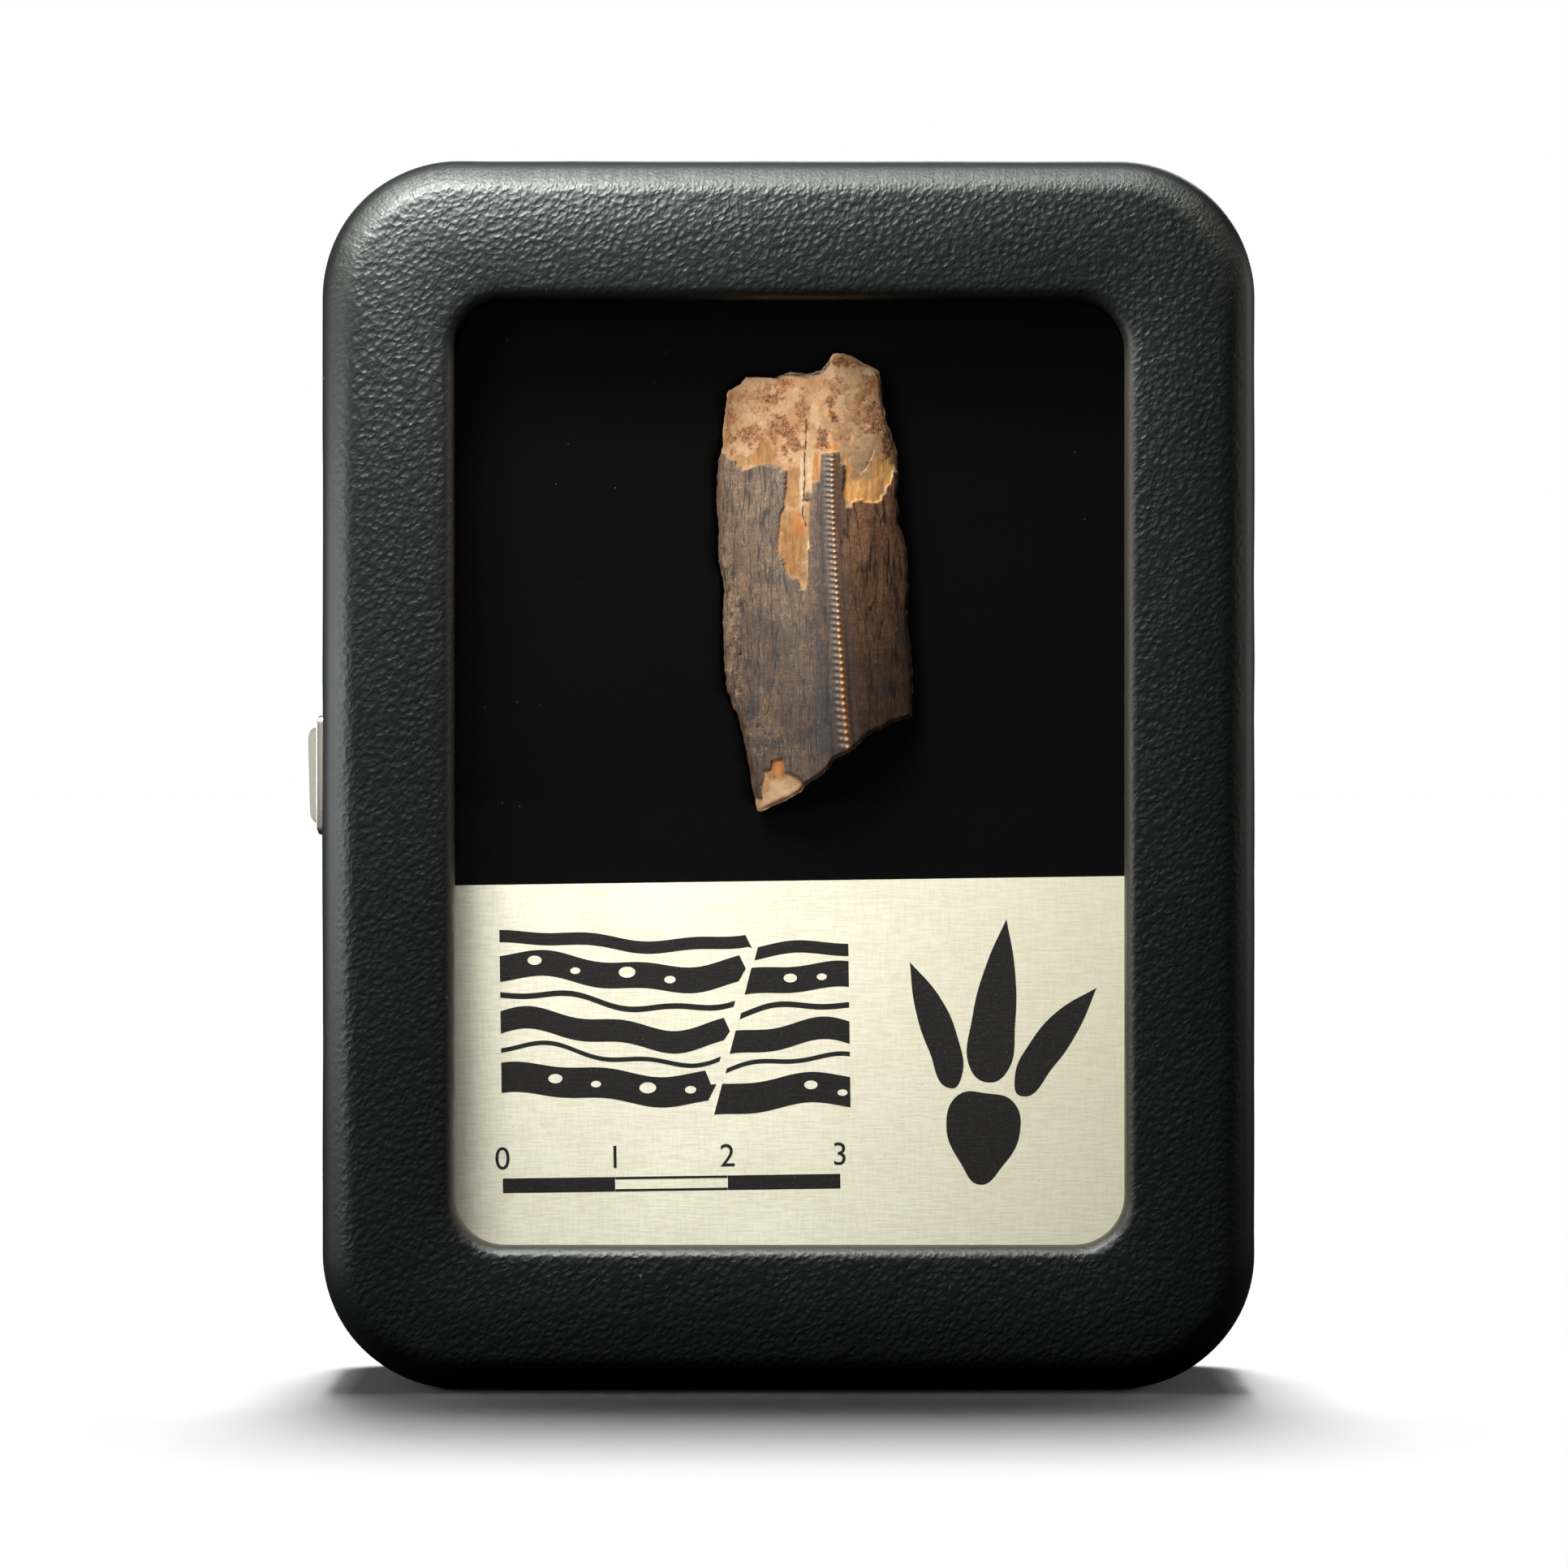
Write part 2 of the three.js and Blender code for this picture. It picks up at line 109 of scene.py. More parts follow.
hinge_axis_x = (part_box("hinge_pin_lower")[0].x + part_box("hinge_pin_lower")[1].x) / 2
RIM_BEVEL = base_high.x - hinge_axis_x + 0.5 * MM
LEAF_SEAT_DEPTH = 0.6 * MM
LEAF_SEAT_MARGIN = 0.6 * MM
LEAF_SEAT_CORNER = 0.2 * MM
KNUCKLE_RELIEF = 1.3 * MM

WAVE_SIZE = 9 * MM
WAVE_HEIGHT = 0.05 * MM
EDGE_FADE = (0.7 * MM, 3.4 * MM)


def take_up(piece=None):
    """Starts to edit a piece, or the one just made, with all of it selected."""
    if piece:
        bpy.ops.object.select_all(action="DESELECT")
        piece.select_set(True)
        bpy.context.view_layer.objects.active = piece
    bpy.ops.object.mode_set(mode="EDIT")
    take_all()


def take_all():
    bpy.ops.mesh.select_all(action="SELECT")


def put_down():
    bpy.ops.object.mode_set(mode="OBJECT")


def start_piece(name):
    """Makes an empty mesh object at the origin and starts to edit it."""
    bpy.ops.object.select_all(action="DESELECT")
    bpy.ops.mesh.primitive_cube_add(size=1)
    piece = bpy.context.object
    piece.name = name
    piece.data.name = name
    take_up()
    bpy.ops.mesh.delete(type="VERT")
    return piece


def pick(kind, test, everywhere=False):
    """Narrows the selection to the faces or edges whose middle and normal or run pass the test."""
    if everywhere:
        take_all()
    bpy.ops.mesh.select_mode(type={"edges": "EDGE", "faces": "FACE"}[kind])
    mesh = bmesh.from_edit_mesh(bpy.context.object.data)
    chosen = []
    for item in getattr(mesh, kind):
        if not item.select:
            continue
        if kind == "edges":
            start, end = (vert.co for vert in item.verts)
            passed = test((start + end) / 2, end - start)
        else:
            passed = test(item.calc_center_median(), item.normal)
        if passed:
            chosen.append(item)
    for item in (*mesh.verts, *mesh.edges, *mesh.faces):
        item.select = False
    for item in chosen:
        item.select_set(True)
    bmesh.update_edit_mesh(bpy.context.object.data)


def outside_by(x, z, low, high, radius):
    """How far a point is outside a rounded rectangle, or inside it as a negative distance."""
    over_x = abs(x - (low[0] + high[0]) / 2) - (high[0] - low[0]) / 2 + radius
    over_z = abs(z - (low[2] + high[2]) / 2) - (high[2] - low[2]) / 2 + radius
    beyond = math.hypot(max(over_x, 0), max(over_z, 0))
    return beyond + min(max(over_x, over_z), 0) - radius


def bevel(radius, steps):
    bpy.ops.mesh.bevel(offset=radius, segments=steps, profile=0.5, affect="EDGES")


def add_block(low, high, radius, steps=CORNER_STEPS, along=1):
    """Adds a block, rounds its four edges that run along an axis, front to back, and selects it."""
    middle = (Vector(low) + Vector(high)) / 2
    bpy.ops.mesh.primitive_cube_add(size=1, location=middle)
    bpy.ops.transform.resize(value=Vector(high) - Vector(low), center_override=middle)
    pick("edges", lambda place, run: abs(run[along]) > 0.9 * run.length)
    bevel(radius, steps)
    bpy.ops.mesh.select_linked()


def round_end(depth, radius, steps=8, along=1):
    """Rounds the edge between the selected block's sides and its face at that depth."""
    pick("edges", lambda place, run: abs(place[along] - depth) < NEAR and abs(run[along]) < NEAR)
    bevel(radius, steps)
    bpy.ops.mesh.select_linked()


def open_ends(*depths):
    """Takes the flat faces at those depths off the selected block."""
    def at_end(place, normal):
        return abs(normal.y) > 0.99 and min(abs(place.y - y) for y in depths) < NEAR

    pick("faces", at_end)
    bpy.ops.mesh.delete(type="ONLY_FACE")


def add_hollow(low, high, radius, *ends):
    """Adds the inner wall of a hollow that is open at those depths."""
    add_block(low, high, radius)
    bpy.ops.mesh.flip_normals()
    open_ends(*ends)


def join_rims(y):
    """Joins the two open edges that lie at that depth with a flat band."""
    mesh = bmesh.from_edit_mesh(bpy.context.object.data)
    bpy.ops.mesh.select_mode(type="EDGE")
    bpy.ops.mesh.select_all(action="DESELECT")
    for edge in mesh.edges:
        if edge.is_boundary and all(abs(vert.co.y - y) < NEAR for vert in edge.verts):
            edge.select_set(True)
    bmesh.update_edit_mesh(bpy.context.object.data)
    bpy.ops.mesh.bridge_edge_loops()


def soften_edge(y, low, high, corner, radius, steps=3):
    """Rounds the edge that runs round a rounded rectangle at that depth."""
    def on_edge(place, run):
        level = abs(place.y - y) < NEAR and abs(run.y) < NEAR
        return level and abs(outside_by(place.x, place.z, low, high, corner)) < NEAR

    pick("edges", on_edge, everywhere=True)
    bevel(radius, steps)


def divide(test, cuts):
    pick("edges", test, everywhere=True)
    bpy.ops.mesh.subdivide(number_cuts=cuts)


def combine(piece, other, operation="DIFFERENCE"):
    """Cuts one solid out of another, or joins them with UNION, and removes the second."""
    modifier = piece.modifiers.new("combine", "BOOLEAN")
    modifier.operation = operation
    modifier.solver = "EXACT"
    modifier.object = other
    bpy.context.view_layer.objects.active = piece
    bpy.ops.object.modifier_apply(modifier=modifier.name)
    bpy.data.objects.remove(other)


def make_room_for_hinges(piece, side):
    """Bevels the rim on the hinge side and sinks the seats of the leaves and their knuckles."""
    take_all()
    bpy.ops.mesh.bisect(
        plane_co=(base_high.x - RIM_BEVEL, PARTING, 0),
        plane_no=(1, -side, 0),
        use_fill=True,
        clear_outer=True,
    )
    put_down()
    for place in ("lower", "upper"):
        low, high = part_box(f"hinge_leaf_base_{place}")
        z_low, z_high = low.z - LEAF_SEAT_MARGIN, high.z + LEAF_SEAT_MARGIN
        seat = start_piece("seat")
        depth = sorted((PARTING + side * LEAF_SEAT_DEPTH, PARTING - side * MM))
        corners = (low.x - LEAF_SEAT_MARGIN, depth[0], z_low), (hinge_axis_x, depth[1], z_high)
        add_block(*corners, LEAF_SEAT_CORNER, 2)
        put_down()
        combine(piece, seat)
        bpy.ops.object.select_all(action="DESELECT")
        bpy.ops.mesh.primitive_cylinder_add(
            vertices=32,
            radius=KNUCKLE_RELIEF,
            depth=z_high - z_low,
            location=(hinge_axis_x, PARTING, (z_low + z_high) / 2),
        )
        combine(piece, bpy.context.object)


def tidy_surface(piece, crease):
    """Merges doubled points, shades the piece smoothly up to a crease of that angle, and selects it."""
    take_up(piece)
    bpy.ops.mesh.select_mode(type="VERT")
    take_all()
    bpy.ops.mesh.remove_doubles(threshold=DOUBLES)
    put_down()
    bpy.ops.object.transform_apply()
    bpy.ops.object.shade_smooth_by_angle(angle=math.radians(crease))


def mark(piece, **measures):
    """Stores numbers for each point of the piece, worked out from its place."""
    for name, measure in measures.items():
        attribute = piece.data.attributes.new(name, "FLOAT", "POINT")
        for value, vert in zip(attribute.data, piece.data.vertices):
            value.value = measure(vert.co)


def smooth_step(value, start, end):
    share = min(max((value - start) / (end - start), 0), 1)
    return share * share * (3 - 2 * share)


def slack(place, size=WAVE_SIZE):
    """The slight unevenness of a covering that is pulled over board and padding."""
    spot = Vector(place) / size
    return noise.noise(spot) + 0.4 * noise.noise(spot * 2.6 + Vector((7, 3, 1)))


def grain_depth(place):
    """How deep the grain is: it is pulled flat where the covering is stretched over an edge."""
    inside = -outside_by(place.x, place.z, lid_low, lid_high, CORNER_RADIUS)
    face = 0.04 + 0.96 * smooth_step(inside + 0.5 * MM * slack(place, 2 * MM), *EDGE_FADE)
    side = 0.8 * smooth_step(place.y, lid_low.y + 4.5 * MM, lid_low.y + 6.5 * MM)
    return max(face, side)


def edge_pull(place):
    """How much the covering is drawn into short creases that run over the outer edge."""
    inside = -outside_by(place.x, place.z, lid_low, lid_high, CORNER_RADIUS)
    upper = smooth_step(place.z, lid_high.z - 15 * MM, lid_high.z - 6 * MM)
    upper *= smooth_step(inside, 0.5 * MM, 1.3 * MM)
    return upper * (1 - smooth_step(inside, 2.2 * MM, 3.6 * MM))


def way_round(place):
    """How far round the outline a point lies, in millimetres, from the middle of the top."""
    x = place.x - (lid_low.x + lid_high.x) / 2
    half_width = (lid_high.x - lid_low.x) / 2 - CORNER_RADIUS
    low, high = lid_low.z + CORNER_RADIUS, lid_high.z - CORNER_RADIUS
    quarter = CORNER_RADIUS * math.pi / 2
    over_x = max(abs(x) - half_width, 1e-9)
    length = min(abs(x), half_width)
    if place.z > high:
        length += quarter * math.atan2(over_x, place.z - high) / (math.pi / 2)
    elif place.z > low:
        length += quarter + high - place.z
    else:
        turn = math.atan2(low - place.z, over_x) / (math.pi / 2)
        length = half_width + quarter + high - low + quarter * turn + max(half_width - abs(x), 0)
    return math.copysign(length, x) / MM


class Wire:
    """A value or colour that flows through a material, with arithmetic that adds Math nodes."""

    def __init__(self, tree, socket=None):
        self.tree = tree
        self.socket = socket

    def add(self, kind, settings=None, values=None, output=0):
        """Adds a node, with its settings made first, and gives one of its outputs."""
        node = self.tree.nodes.new(f"ShaderNode{kind}")
        for name, setting in (settings or {}).items():
            setattr(node, name, setting)
        for name, value in (values or {}).items():
            self.feed(node.inputs[name], value)
        return Wire(self.tree, node.outputs[output])

    def feed(self, socket, value):
        if isinstance(value, Wire):
            self.tree.links.new(value.socket, socket)
        else:
            socket.default_value = value

    def math(self, operation, *values, clamp=False):
        settings = {"operation": operation, "use_clamp": clamp}
        return self.add("Math", settings, dict(enumerate(values)))

    def __add__(self, other):
        return self.math("ADD", self, other)

    def __sub__(self, other):
        return self.math("SUBTRACT", self, other)

    def __rsub__(self, other):
        return self.math("SUBTRACT", other, self)

    def __mul__(self, other):
        return self.math("MULTIPLY", self, other)

    __radd__ = __add__
    __rmul__ = __mul__

    def held(self):
        return self.math("MULTIPLY", self, 1.0, clamp=True)

    def step(self, start, end):
        """Rises smoothly from 0 to 1 between two values."""
        values = {"Value": self, "From Min": start, "From Max": end}
        return self.add("MapRange", {"interpolation_type": "SMOOTHSTEP"}, values)

    def field(self, name):
        """A number that is stored for each point of the piece."""
        return self.add("Attribute", {"attribute_name": name}, output="Fac")

    def clouds(self, detail, size=1 / MM):
        """Noise on coordinates, of that size in millimetres, or in metres if none is given."""
        values = {"Vector": self, "Scale": 1 / (size * MM), "Detail": detail}
        return self.add("TexNoise", {}, values)

    def cells(self, settings=None, values=None, output=0, size=1 / MM):
        """Cells on coordinates, of that size in millimetres, or in metres if none is given."""
        values = {"Vector": self, "Scale": 1 / (size * MM), **(values or {})}
        return self.add("TexVoronoi", settings, values, output)

    def stretched(self, across, deep, up, turn=0):
        """Stretches coordinates to that size in millimetres, turned by that many degrees."""
        size = (across * MM, deep * MM, up * MM)
        values = {"Vector": self, "Rotation": (0, math.radians(turn), 0), "Scale": size}
        return self.add("Mapping", {"vector_type": "TEXTURE"}, values)

    def shaken(self, size, amount):
        """Shifts coordinates about, over that size and by that amount in millimetres."""
        values = {"Vector": self, "Scale": 1 / (size * MM), "Detail": 1.0}
        push = self.add("TexNoise", {}, values, "Color")
        values = {0: push, 1: (0.5, 0.5, 0.5)}
        centred = self.add("VectorMath", {"operation": "SUBTRACT"}, values)
        values = {0: centred, 1: (amount * MM,) * 3, 2: self}
        return self.add("VectorMath", {"operation": "MULTIPLY_ADD"}, values)

    def bump(self, depth):
        """Turns a height into a relief of that depth in millimetres."""
        return self.add("Bump", {}, {"Distance": depth * MM, "Height": self}, "Normal")

    def ray(self, kind):
        return self.add("LightPath", output=f"Is {kind} Ray")

    def seen(self):
        """Gives 1 to the eye, which may look through glass, and 0 to other rays."""
        return (self.ray("Camera") + self.ray("Transmission")).held()


def paint(red, green, blue):
    """A colour from its screen values, 0 to 255."""
    screen = (red, green, blue)
    linear = (((v / 255 + 0.055) / 1.055) ** 2.4 if v > 10 else v / 3295 for v in screen)
    return (*linear, 1)


def grey(level):
    return (level, level, level, 1)


def mixed(share, first, second, blend="MIX"):
    """Blends two colours; a share of 1 gives the second."""
    wire = next(value for value in (share, first, second) if isinstance(value, Wire))
    settings = {"data_type": "RGBA", "blend_type": blend}
    return wire.add("Mix", settings, {0: share, 6: first, 7: second}, 2)


def coated(tone, *coats):
    """Lays colours over a tone in turn, each by a share, or shades it between two levels of grey."""
    for share, *coat in coats:
        if len(coat) == 1:
            tone = mixed(share, tone, coat[0])
        else:
            tone = mixed(1.0, tone, mixed(share, grey(coat[0]), grey(coat[1])), "MULTIPLY")
    return tone


def start_finish(name):
    """Starts a material and gives it with its object coordinates."""
    finish = bpy.data.materials.new(name)
    finish.use_nodes = True
    return finish, Wire(finish.node_tree).add("TexCoord", output="Object")


def set_surface(finish, values):
    shader = finish.node_tree.nodes["Principled BSDF"]
    for name, value in values.items():
        Wire(finish.node_tree).feed(shader.inputs[name], value)
    return finish


def leatherette():
    """Black embossed leatherette: slanting creased cells, paler on their worn ridges."""
    finish, place = start_finish("leatherette")
    depth, around, pull, turned = map(place.field, ("grain", "around", "pull", "turned"))
    loose = place.shaken(1.5, 0.5)
    slanted = loose.stretched(0.7, 0.6, 0.52, turn=-38)
    crossed = loose.stretched(0.38, 0.36, 0.3, turn=-60)
    cells = slanted.cells({"feature": "SMOOTH_F1"}, {"Smoothness": 0.3})
    fine_cells = crossed.cells({"feature": "SMOOTH_F1"}, {"Smoothness": 0.2})
    ridges = cells.step(0.12, 0.78)
    fine_ridges = fine_cells.step(0.1, 0.75)
    pores = place.clouds(2.0, 0.12)
    swell = place.clouds(1.0, 1.3)
    along_edge = around * 4.2 + cells * 1.3 + pores * 0.8
    sideways = place.add("CombineXYZ", {}, {0: along_edge, 1: fine_cells * 1.2})
    creases = sideways.clouds(2.0)
    relief = (ridges + fine_ridges * 0.36 + swell * 0.16 + pores * 0.2) * depth
    relief = relief + pull * (creases * 1.5 + fine_ridges * 0.5) + pores * 0.05
    tone = place.clouds(3.0, 14)
    lint = place.shaken(2, 2).cells(size=3.1)
    dust = (1 - lint.step(0.025, 0.045)) * tone.step(0.5, 0.6)
    return set_surface(finish, {
        "Base Color": coated(
            mixed(tone, paint(8, 9, 10), paint(11, 12, 12)),
            ((ridges * depth * 0.8).held(), paint(20, 22, 22)),
            (pull * (creases.step(0.42, 0.66) * 0.35 + 0.15), paint(74, 75, 70)),
            # wear and painted highlight: the turned edge is paler at the window's sides and bottom, but not
            # at its shaded top
            (turned * (0.6 + pores * 0.6), paint(50, 46, 40)),
            (dust * 0.6, paint(130, 130, 128)),
        ),
        "Roughness": 0.45 - ridges * depth * 0.12 + pores * 0.06,
        "Specular IOR Level": 0.5,
        "Specular Tint": (0.93, 1.0, 0.99, 1),
        "Normal": relief.bump(0.042),
    })


tray = start_piece("base_tray")
cavity_low = Vector((base_low.x + WALL, PARTING, base_low.z + WALL))
cavity_high = Vector((base_high.x - WALL, base_high.y - BASE_FLOOR, base_high.z - WALL))
add_block(base_low, base_high, CORNER_RADIUS)
round_end(base_high.y, BACK_EDGE_RADIUS)
open_ends(PARTING)
add_hollow(cavity_low, cavity_high, CORNER_RADIUS - WALL, PARTING)
join_rims(PARTING)
soften_edge(PARTING, base_low, base_high, CORNER_RADIUS, RIM_OUTER_EDGE)
soften_edge(PARTING, cavity_low, cavity_high, CORNER_RADIUS - WALL, RIM_INNER_EDGE)
divide(lambda place, run: run.length > LONG_RUN, 30)
divide(lambda place, run: SHORT_RUN < abs(run.y) and run.length > SHORT_RUN, 6)
pick("faces", lambda place, normal: place.y > base_high.y - NEAR and normal.y > 0.99, everywhere=True)
bpy.ops.mesh.inset(thickness=BACK_INSET)
make_room_for_hinges(tray, 1)
for vert in tray.data.vertices:
    on_side = abs(outside_by(vert.co.x, vert.co.z, base_low, base_high, CORNER_RADIUS)) < NEAR
    if on_side and vert.co.y > PARTING + 2 * MM:
        vert.co += vert.normal * WAVE_HEIGHT * slack(vert.co)
tidy_surface(tray, crease=38)
mark(tray, grain=grain_depth, pull=edge_pull, around=way_round)
leather = leatherette()
tray.data.materials.append(leather)
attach(tray, "base")
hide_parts("base_shell")


# ---- lid: a deep frame round the window, covered like the base ----
# The covering is drawn over a padded face, turned over the window's edge in a narrow roll, and
# glued down behind. The lid is hollow behind the window to hold the pane and the tooth.
FRONT_EDGE_RADIUS = 3.5 * MM
WINDOW_CORNER_RADIUS = 4.4 * MM
WINDOW_ROLL = 1.1 * MM
SIGHT_WIDTH = 58.8 * MM
SIGHT_HEIGHT = 82.9 * MM
FACE_CROWN = 0.42 * MM
FACE_BAND = 5 * MM
WINDOW_DIP = 0.15 * MM
WINDOW_DIP_WIDTH = 2.4 * MM
ROLL_SMOOTH = (0.45 * MM, 1.15 * MM)

pane_low, pane_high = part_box("glass_pane")
sight_middle = (pane_low + pane_high) / 2
half_sight = Vector((SIGHT_WIDTH, 0, SIGHT_HEIGHT)) / 2
window_low, window_high = sight_middle - half_sight, sight_middle + half_sight
window_low.y, window_high.y = lid_low.y, pane_low.y


def lid_grain(place):
    """The grain, which is also pulled flat where the covering turns into the window."""
    beyond = outside_by(place.x, place.z, window_low, window_high, WINDOW_CORNER_RADIUS)
    smoothed = smooth_step(beyond + 0.25 * MM * slack(place, 0.9 * MM), *ROLL_SMOOTH)
    return grain_depth(place) * (0.45 + 0.55 * smoothed)


def turned_edge(place):
    """Where the covering is turned into the window and shows paler: partly its backing cloth showing
    through, partly painted highlight on the lit sides and bottom. It is left out along the top, where the
    roll faces down into shade.
    """
    beyond = outside_by(place.x, place.z, window_low, window_high, WINDOW_CORNER_RADIUS)
    below_top = 1 - smooth_step(place.z, window_high.z - 7 * MM, window_high.z - 2 * MM)
    return below_top * (1 - smooth_step(abs(beyond), 0.3 * MM, 0.8 * MM))


lid = start_piece("lid_cover")
inner_low = Vector((lid_low.x + WALL, pane_low.y, lid_low.z + WALL))
inner_high = Vector((lid_high.x - WALL, PARTING, lid_high.z - WALL))
add_block(lid_low, lid_high, CORNER_RADIUS)
round_end(lid_low.y, FRONT_EDGE_RADIUS, 10)
open_ends(lid_low.y, PARTING)
add_hollow(window_low, window_high, WINDOW_CORNER_RADIUS, lid_low.y, pane_low.y)
add_hollow(inner_low, inner_high, CORNER_RADIUS - WALL, pane_low.y, PARTING)
for depth in (lid_low.y, pane_low.y, PARTING):
    join_rims(depth)
soften_edge(lid_low.y, window_low, window_high, WINDOW_CORNER_RADIUS, WINDOW_ROLL, 7)
soften_edge(PARTING, lid_low, lid_high, CORNER_RADIUS, RIM_OUTER_EDGE)
soften_edge(PARTING, inner_low, inner_high, CORNER_RADIUS - WALL, RIM_INNER_EDGE)
divide(lambda place, run: run.length > LONG_RUN, 44)
divide(lambda place, run: abs(place.y - lid_low.y) < NEAR and run.length > FACE_BAND, 14)
divide(lambda place, run: SHORT_RUN < abs(run.y) and run.length > SHORT_RUN, 5)
make_room_for_hinges(lid, -1)
for vert in lid.data.vertices:
    inside = -outside_by(vert.co.x, vert.co.z, lid_low, lid_high, CORNER_RADIUS)
    to_window = outside_by(vert.co.x, vert.co.z, window_low, window_high, WINDOW_CORNER_RADIUS)
    if vert.co.y < lid_low.y + WINDOW_ROLL * 0.5 and to_window > -NEAR:
        share = inside / max(inside + to_window, NEAR)
        vert.co.y -= FACE_CROWN * math.sin(math.pi * min(max(share, 0), 1)) ** 1.3
        vert.co.y += WAVE_HEIGHT * slack(vert.co)
    if vert.co.y < pane_low.y - MM and -NEAR < to_window < WINDOW_DIP_WIDTH:
        vert.co.y += WINDOW_DIP * (1 - max(to_window, 0) / WINDOW_DIP_WIDTH) ** 2
    elif inside < NEAR and vert.co.y < PARTING - 2 * MM:
        vert.co += vert.normal * WAVE_HEIGHT * slack(vert.co)
tidy_surface(lid, crease=38)
mark(lid, grain=lid_grain, pull=edge_pull, around=way_round, turned=turned_edge)
lid.data.materials.append(leather)
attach(lid, "lid")
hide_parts("lid_frame")


# ---- window pane: flat clear glass, held against the back of the window ----
# The pane is drawn sheet glass, cut with rounded corners. Its edge is hidden in the frame.
def pane_glass():
    finish, place = start_finish("pane_glass")
    set_surface(finish, {
        "Base Color": grey(1),
        "Roughness": 0.0,
        "IOR": 1.45,
        "Transmission Weight": 1.0,
    })
    nodes = finish.node_tree.nodes
    dimmed = mixed(place.ray("Diffuse"), (0.97, 0.98, 0.975, 1), grey(0.3))
    clear = place.add("BsdfTransparent", {}, {"Color": dimmed})
    glass = Wire(finish.node_tree, nodes["Principled BSDF"].outputs[0])
    both = place.add("MixShader", {}, {0: place.seen(), 1: clear, 2: glass})
    place.feed(nodes["Material Output"].inputs["Surface"], both)
    return finish


def give_finish(node, finish):
    """Gives a carried-over node its material."""
    for slot in bpy.data.objects[node].material_slots:
        slot.material = finish


give_finish("glass_pane", pane_glass())


# ---- retainer: a ring that is glued in the lid behind the pane, to hold it ----
# It is cut from black card. Its face is flocked, like the pad's, so that it doesn't glare.
def flock(name, black, pale):
    """Short black fibres with a little lint caught in them."""
    finish, place = start_finish(name)
    fibres = place.clouds(3.0, 0.09)
    patches = place.clouds(2.0, 6)
    lint = (1 - place.cells(size=2.3).step(0.02, 0.04)) * patches.step(0.52, 0.6)
    nap = mixed(patches * 0.6 + fibres * 0.3, black, pale)
    return set_surface(finish, {
        "Base Color": mixed(lint * 0.25, nap, paint(120, 118, 110)),
        "Roughness": 0.86 + fibres * 0.12,
        "Specular IOR Level": 0.02,
        "Normal": fibres.bump(0.02),
    })


give_finish("glass_retainer", flock("flocked_card", paint(8, 8, 8), paint(10, 10, 10)))


# ---- backing pad: black foam that fills the base, with a pocket in which the tooth is bedded ----
# It is cut from a sheet of dense foam with a flocked face, and its cut edges are soft and rolled.
PAD_CORNER_RADIUS = 7.7 * MM
FOAM_STEP = 0.62 * MM
FOAM_UNEVENNESS = 0.12 * MM
POCKET_GAP = 0.35 * MM
POCKET_FLOOR = 0.35 * MM
pad_low, pad_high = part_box("backing_pad")
tooth_low, tooth_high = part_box("tooth")

# The fragment's four broken edges, in millimetres across and up, seen from the front.
LEFT_BREAK = (
    (-2.75, 50.8), (-2.96, 51.9), (-3.25, 53.1), (-3.46, 54.7), (-3.75, 56.4), (-4.25, 58.35),
    (-4.6, 59.7), (-4.93, 59.95), (-5.18, 60.9), (-5.46, 61.35), (-5.61, 63.1), (-5.75, 65.2),
    (-5.82, 68.7), (-5.68, 70.35), (-5.82, 71.6), (-6.18, 72.8), (-6.25, 74.0), (-6.18, 75.8),
    (-6.39, 77.7), (-6.39, 78.9), (-6.25, 81.9), (-5.89, 82.9), (-5.75, 85.4), (-5.39, 88.2),
)
RIGHT_BREAK = (
    (10.96, 59.3), (11.04, 60.9), (11.04, 63.1), (10.89, 65.1), (10.68, 66.6), (10.54, 68.7),
    (10.75, 70.5), (10.61, 71.7), (10.54, 73.9), (10.25, 75.1), (9.82, 76.1), (9.82, 77.7),
    (9.61, 78.7), (9.82, 79.9), (9.68, 82.6), (9.11, 84.3), (8.64, 85.4), (8.32, 87.4), (8.18, 89.0),
    (7.96, 89.7),
)
LOWER_BREAK = (
    (-2.75, 50.8), (-2.39, 50.8), (-1.61, 51.15), (-0.04, 51.85), (1.07, 52.5), (1.43, 53.0),
    (2.68, 53.8), (3.61, 54.65), (4.04, 55.35), (5.46, 56.05), (6.89, 57.35), (7.64, 57.85),
    (8.25, 57.95), (9.25, 58.65), (10.75, 59.05), (10.96, 59.3),
)
UPPER_BREAK = (
    (-5.39, 88.2), (-4.32, 88.65), (-3.75, 89.35), (-1.96, 89.2), (-1.1, 89.2), (-0.3, 89.55),
    (0.25, 89.7), (1.6, 89.45), (2.96, 89.8), (3.6, 90.7), (3.93, 91.2), (4.75, 91.3), (5.68, 91.0),
    (6.54, 90.45), (7.32, 90.2), (7.96, 89.7),
)


def along(corners, shares):
    """Points of a broken edge, at those shares of its length."""
    points = np.array(corners)
    lengths = np.linalg.norm(np.diff(points, axis=0), axis=1)
    reach = np.concatenate([[0], np.cumsum(lengths)])
    return np.stack([np.interp(shares * reach[-1], reach, points[:, i]) for i in (0, 1)], axis=-1)


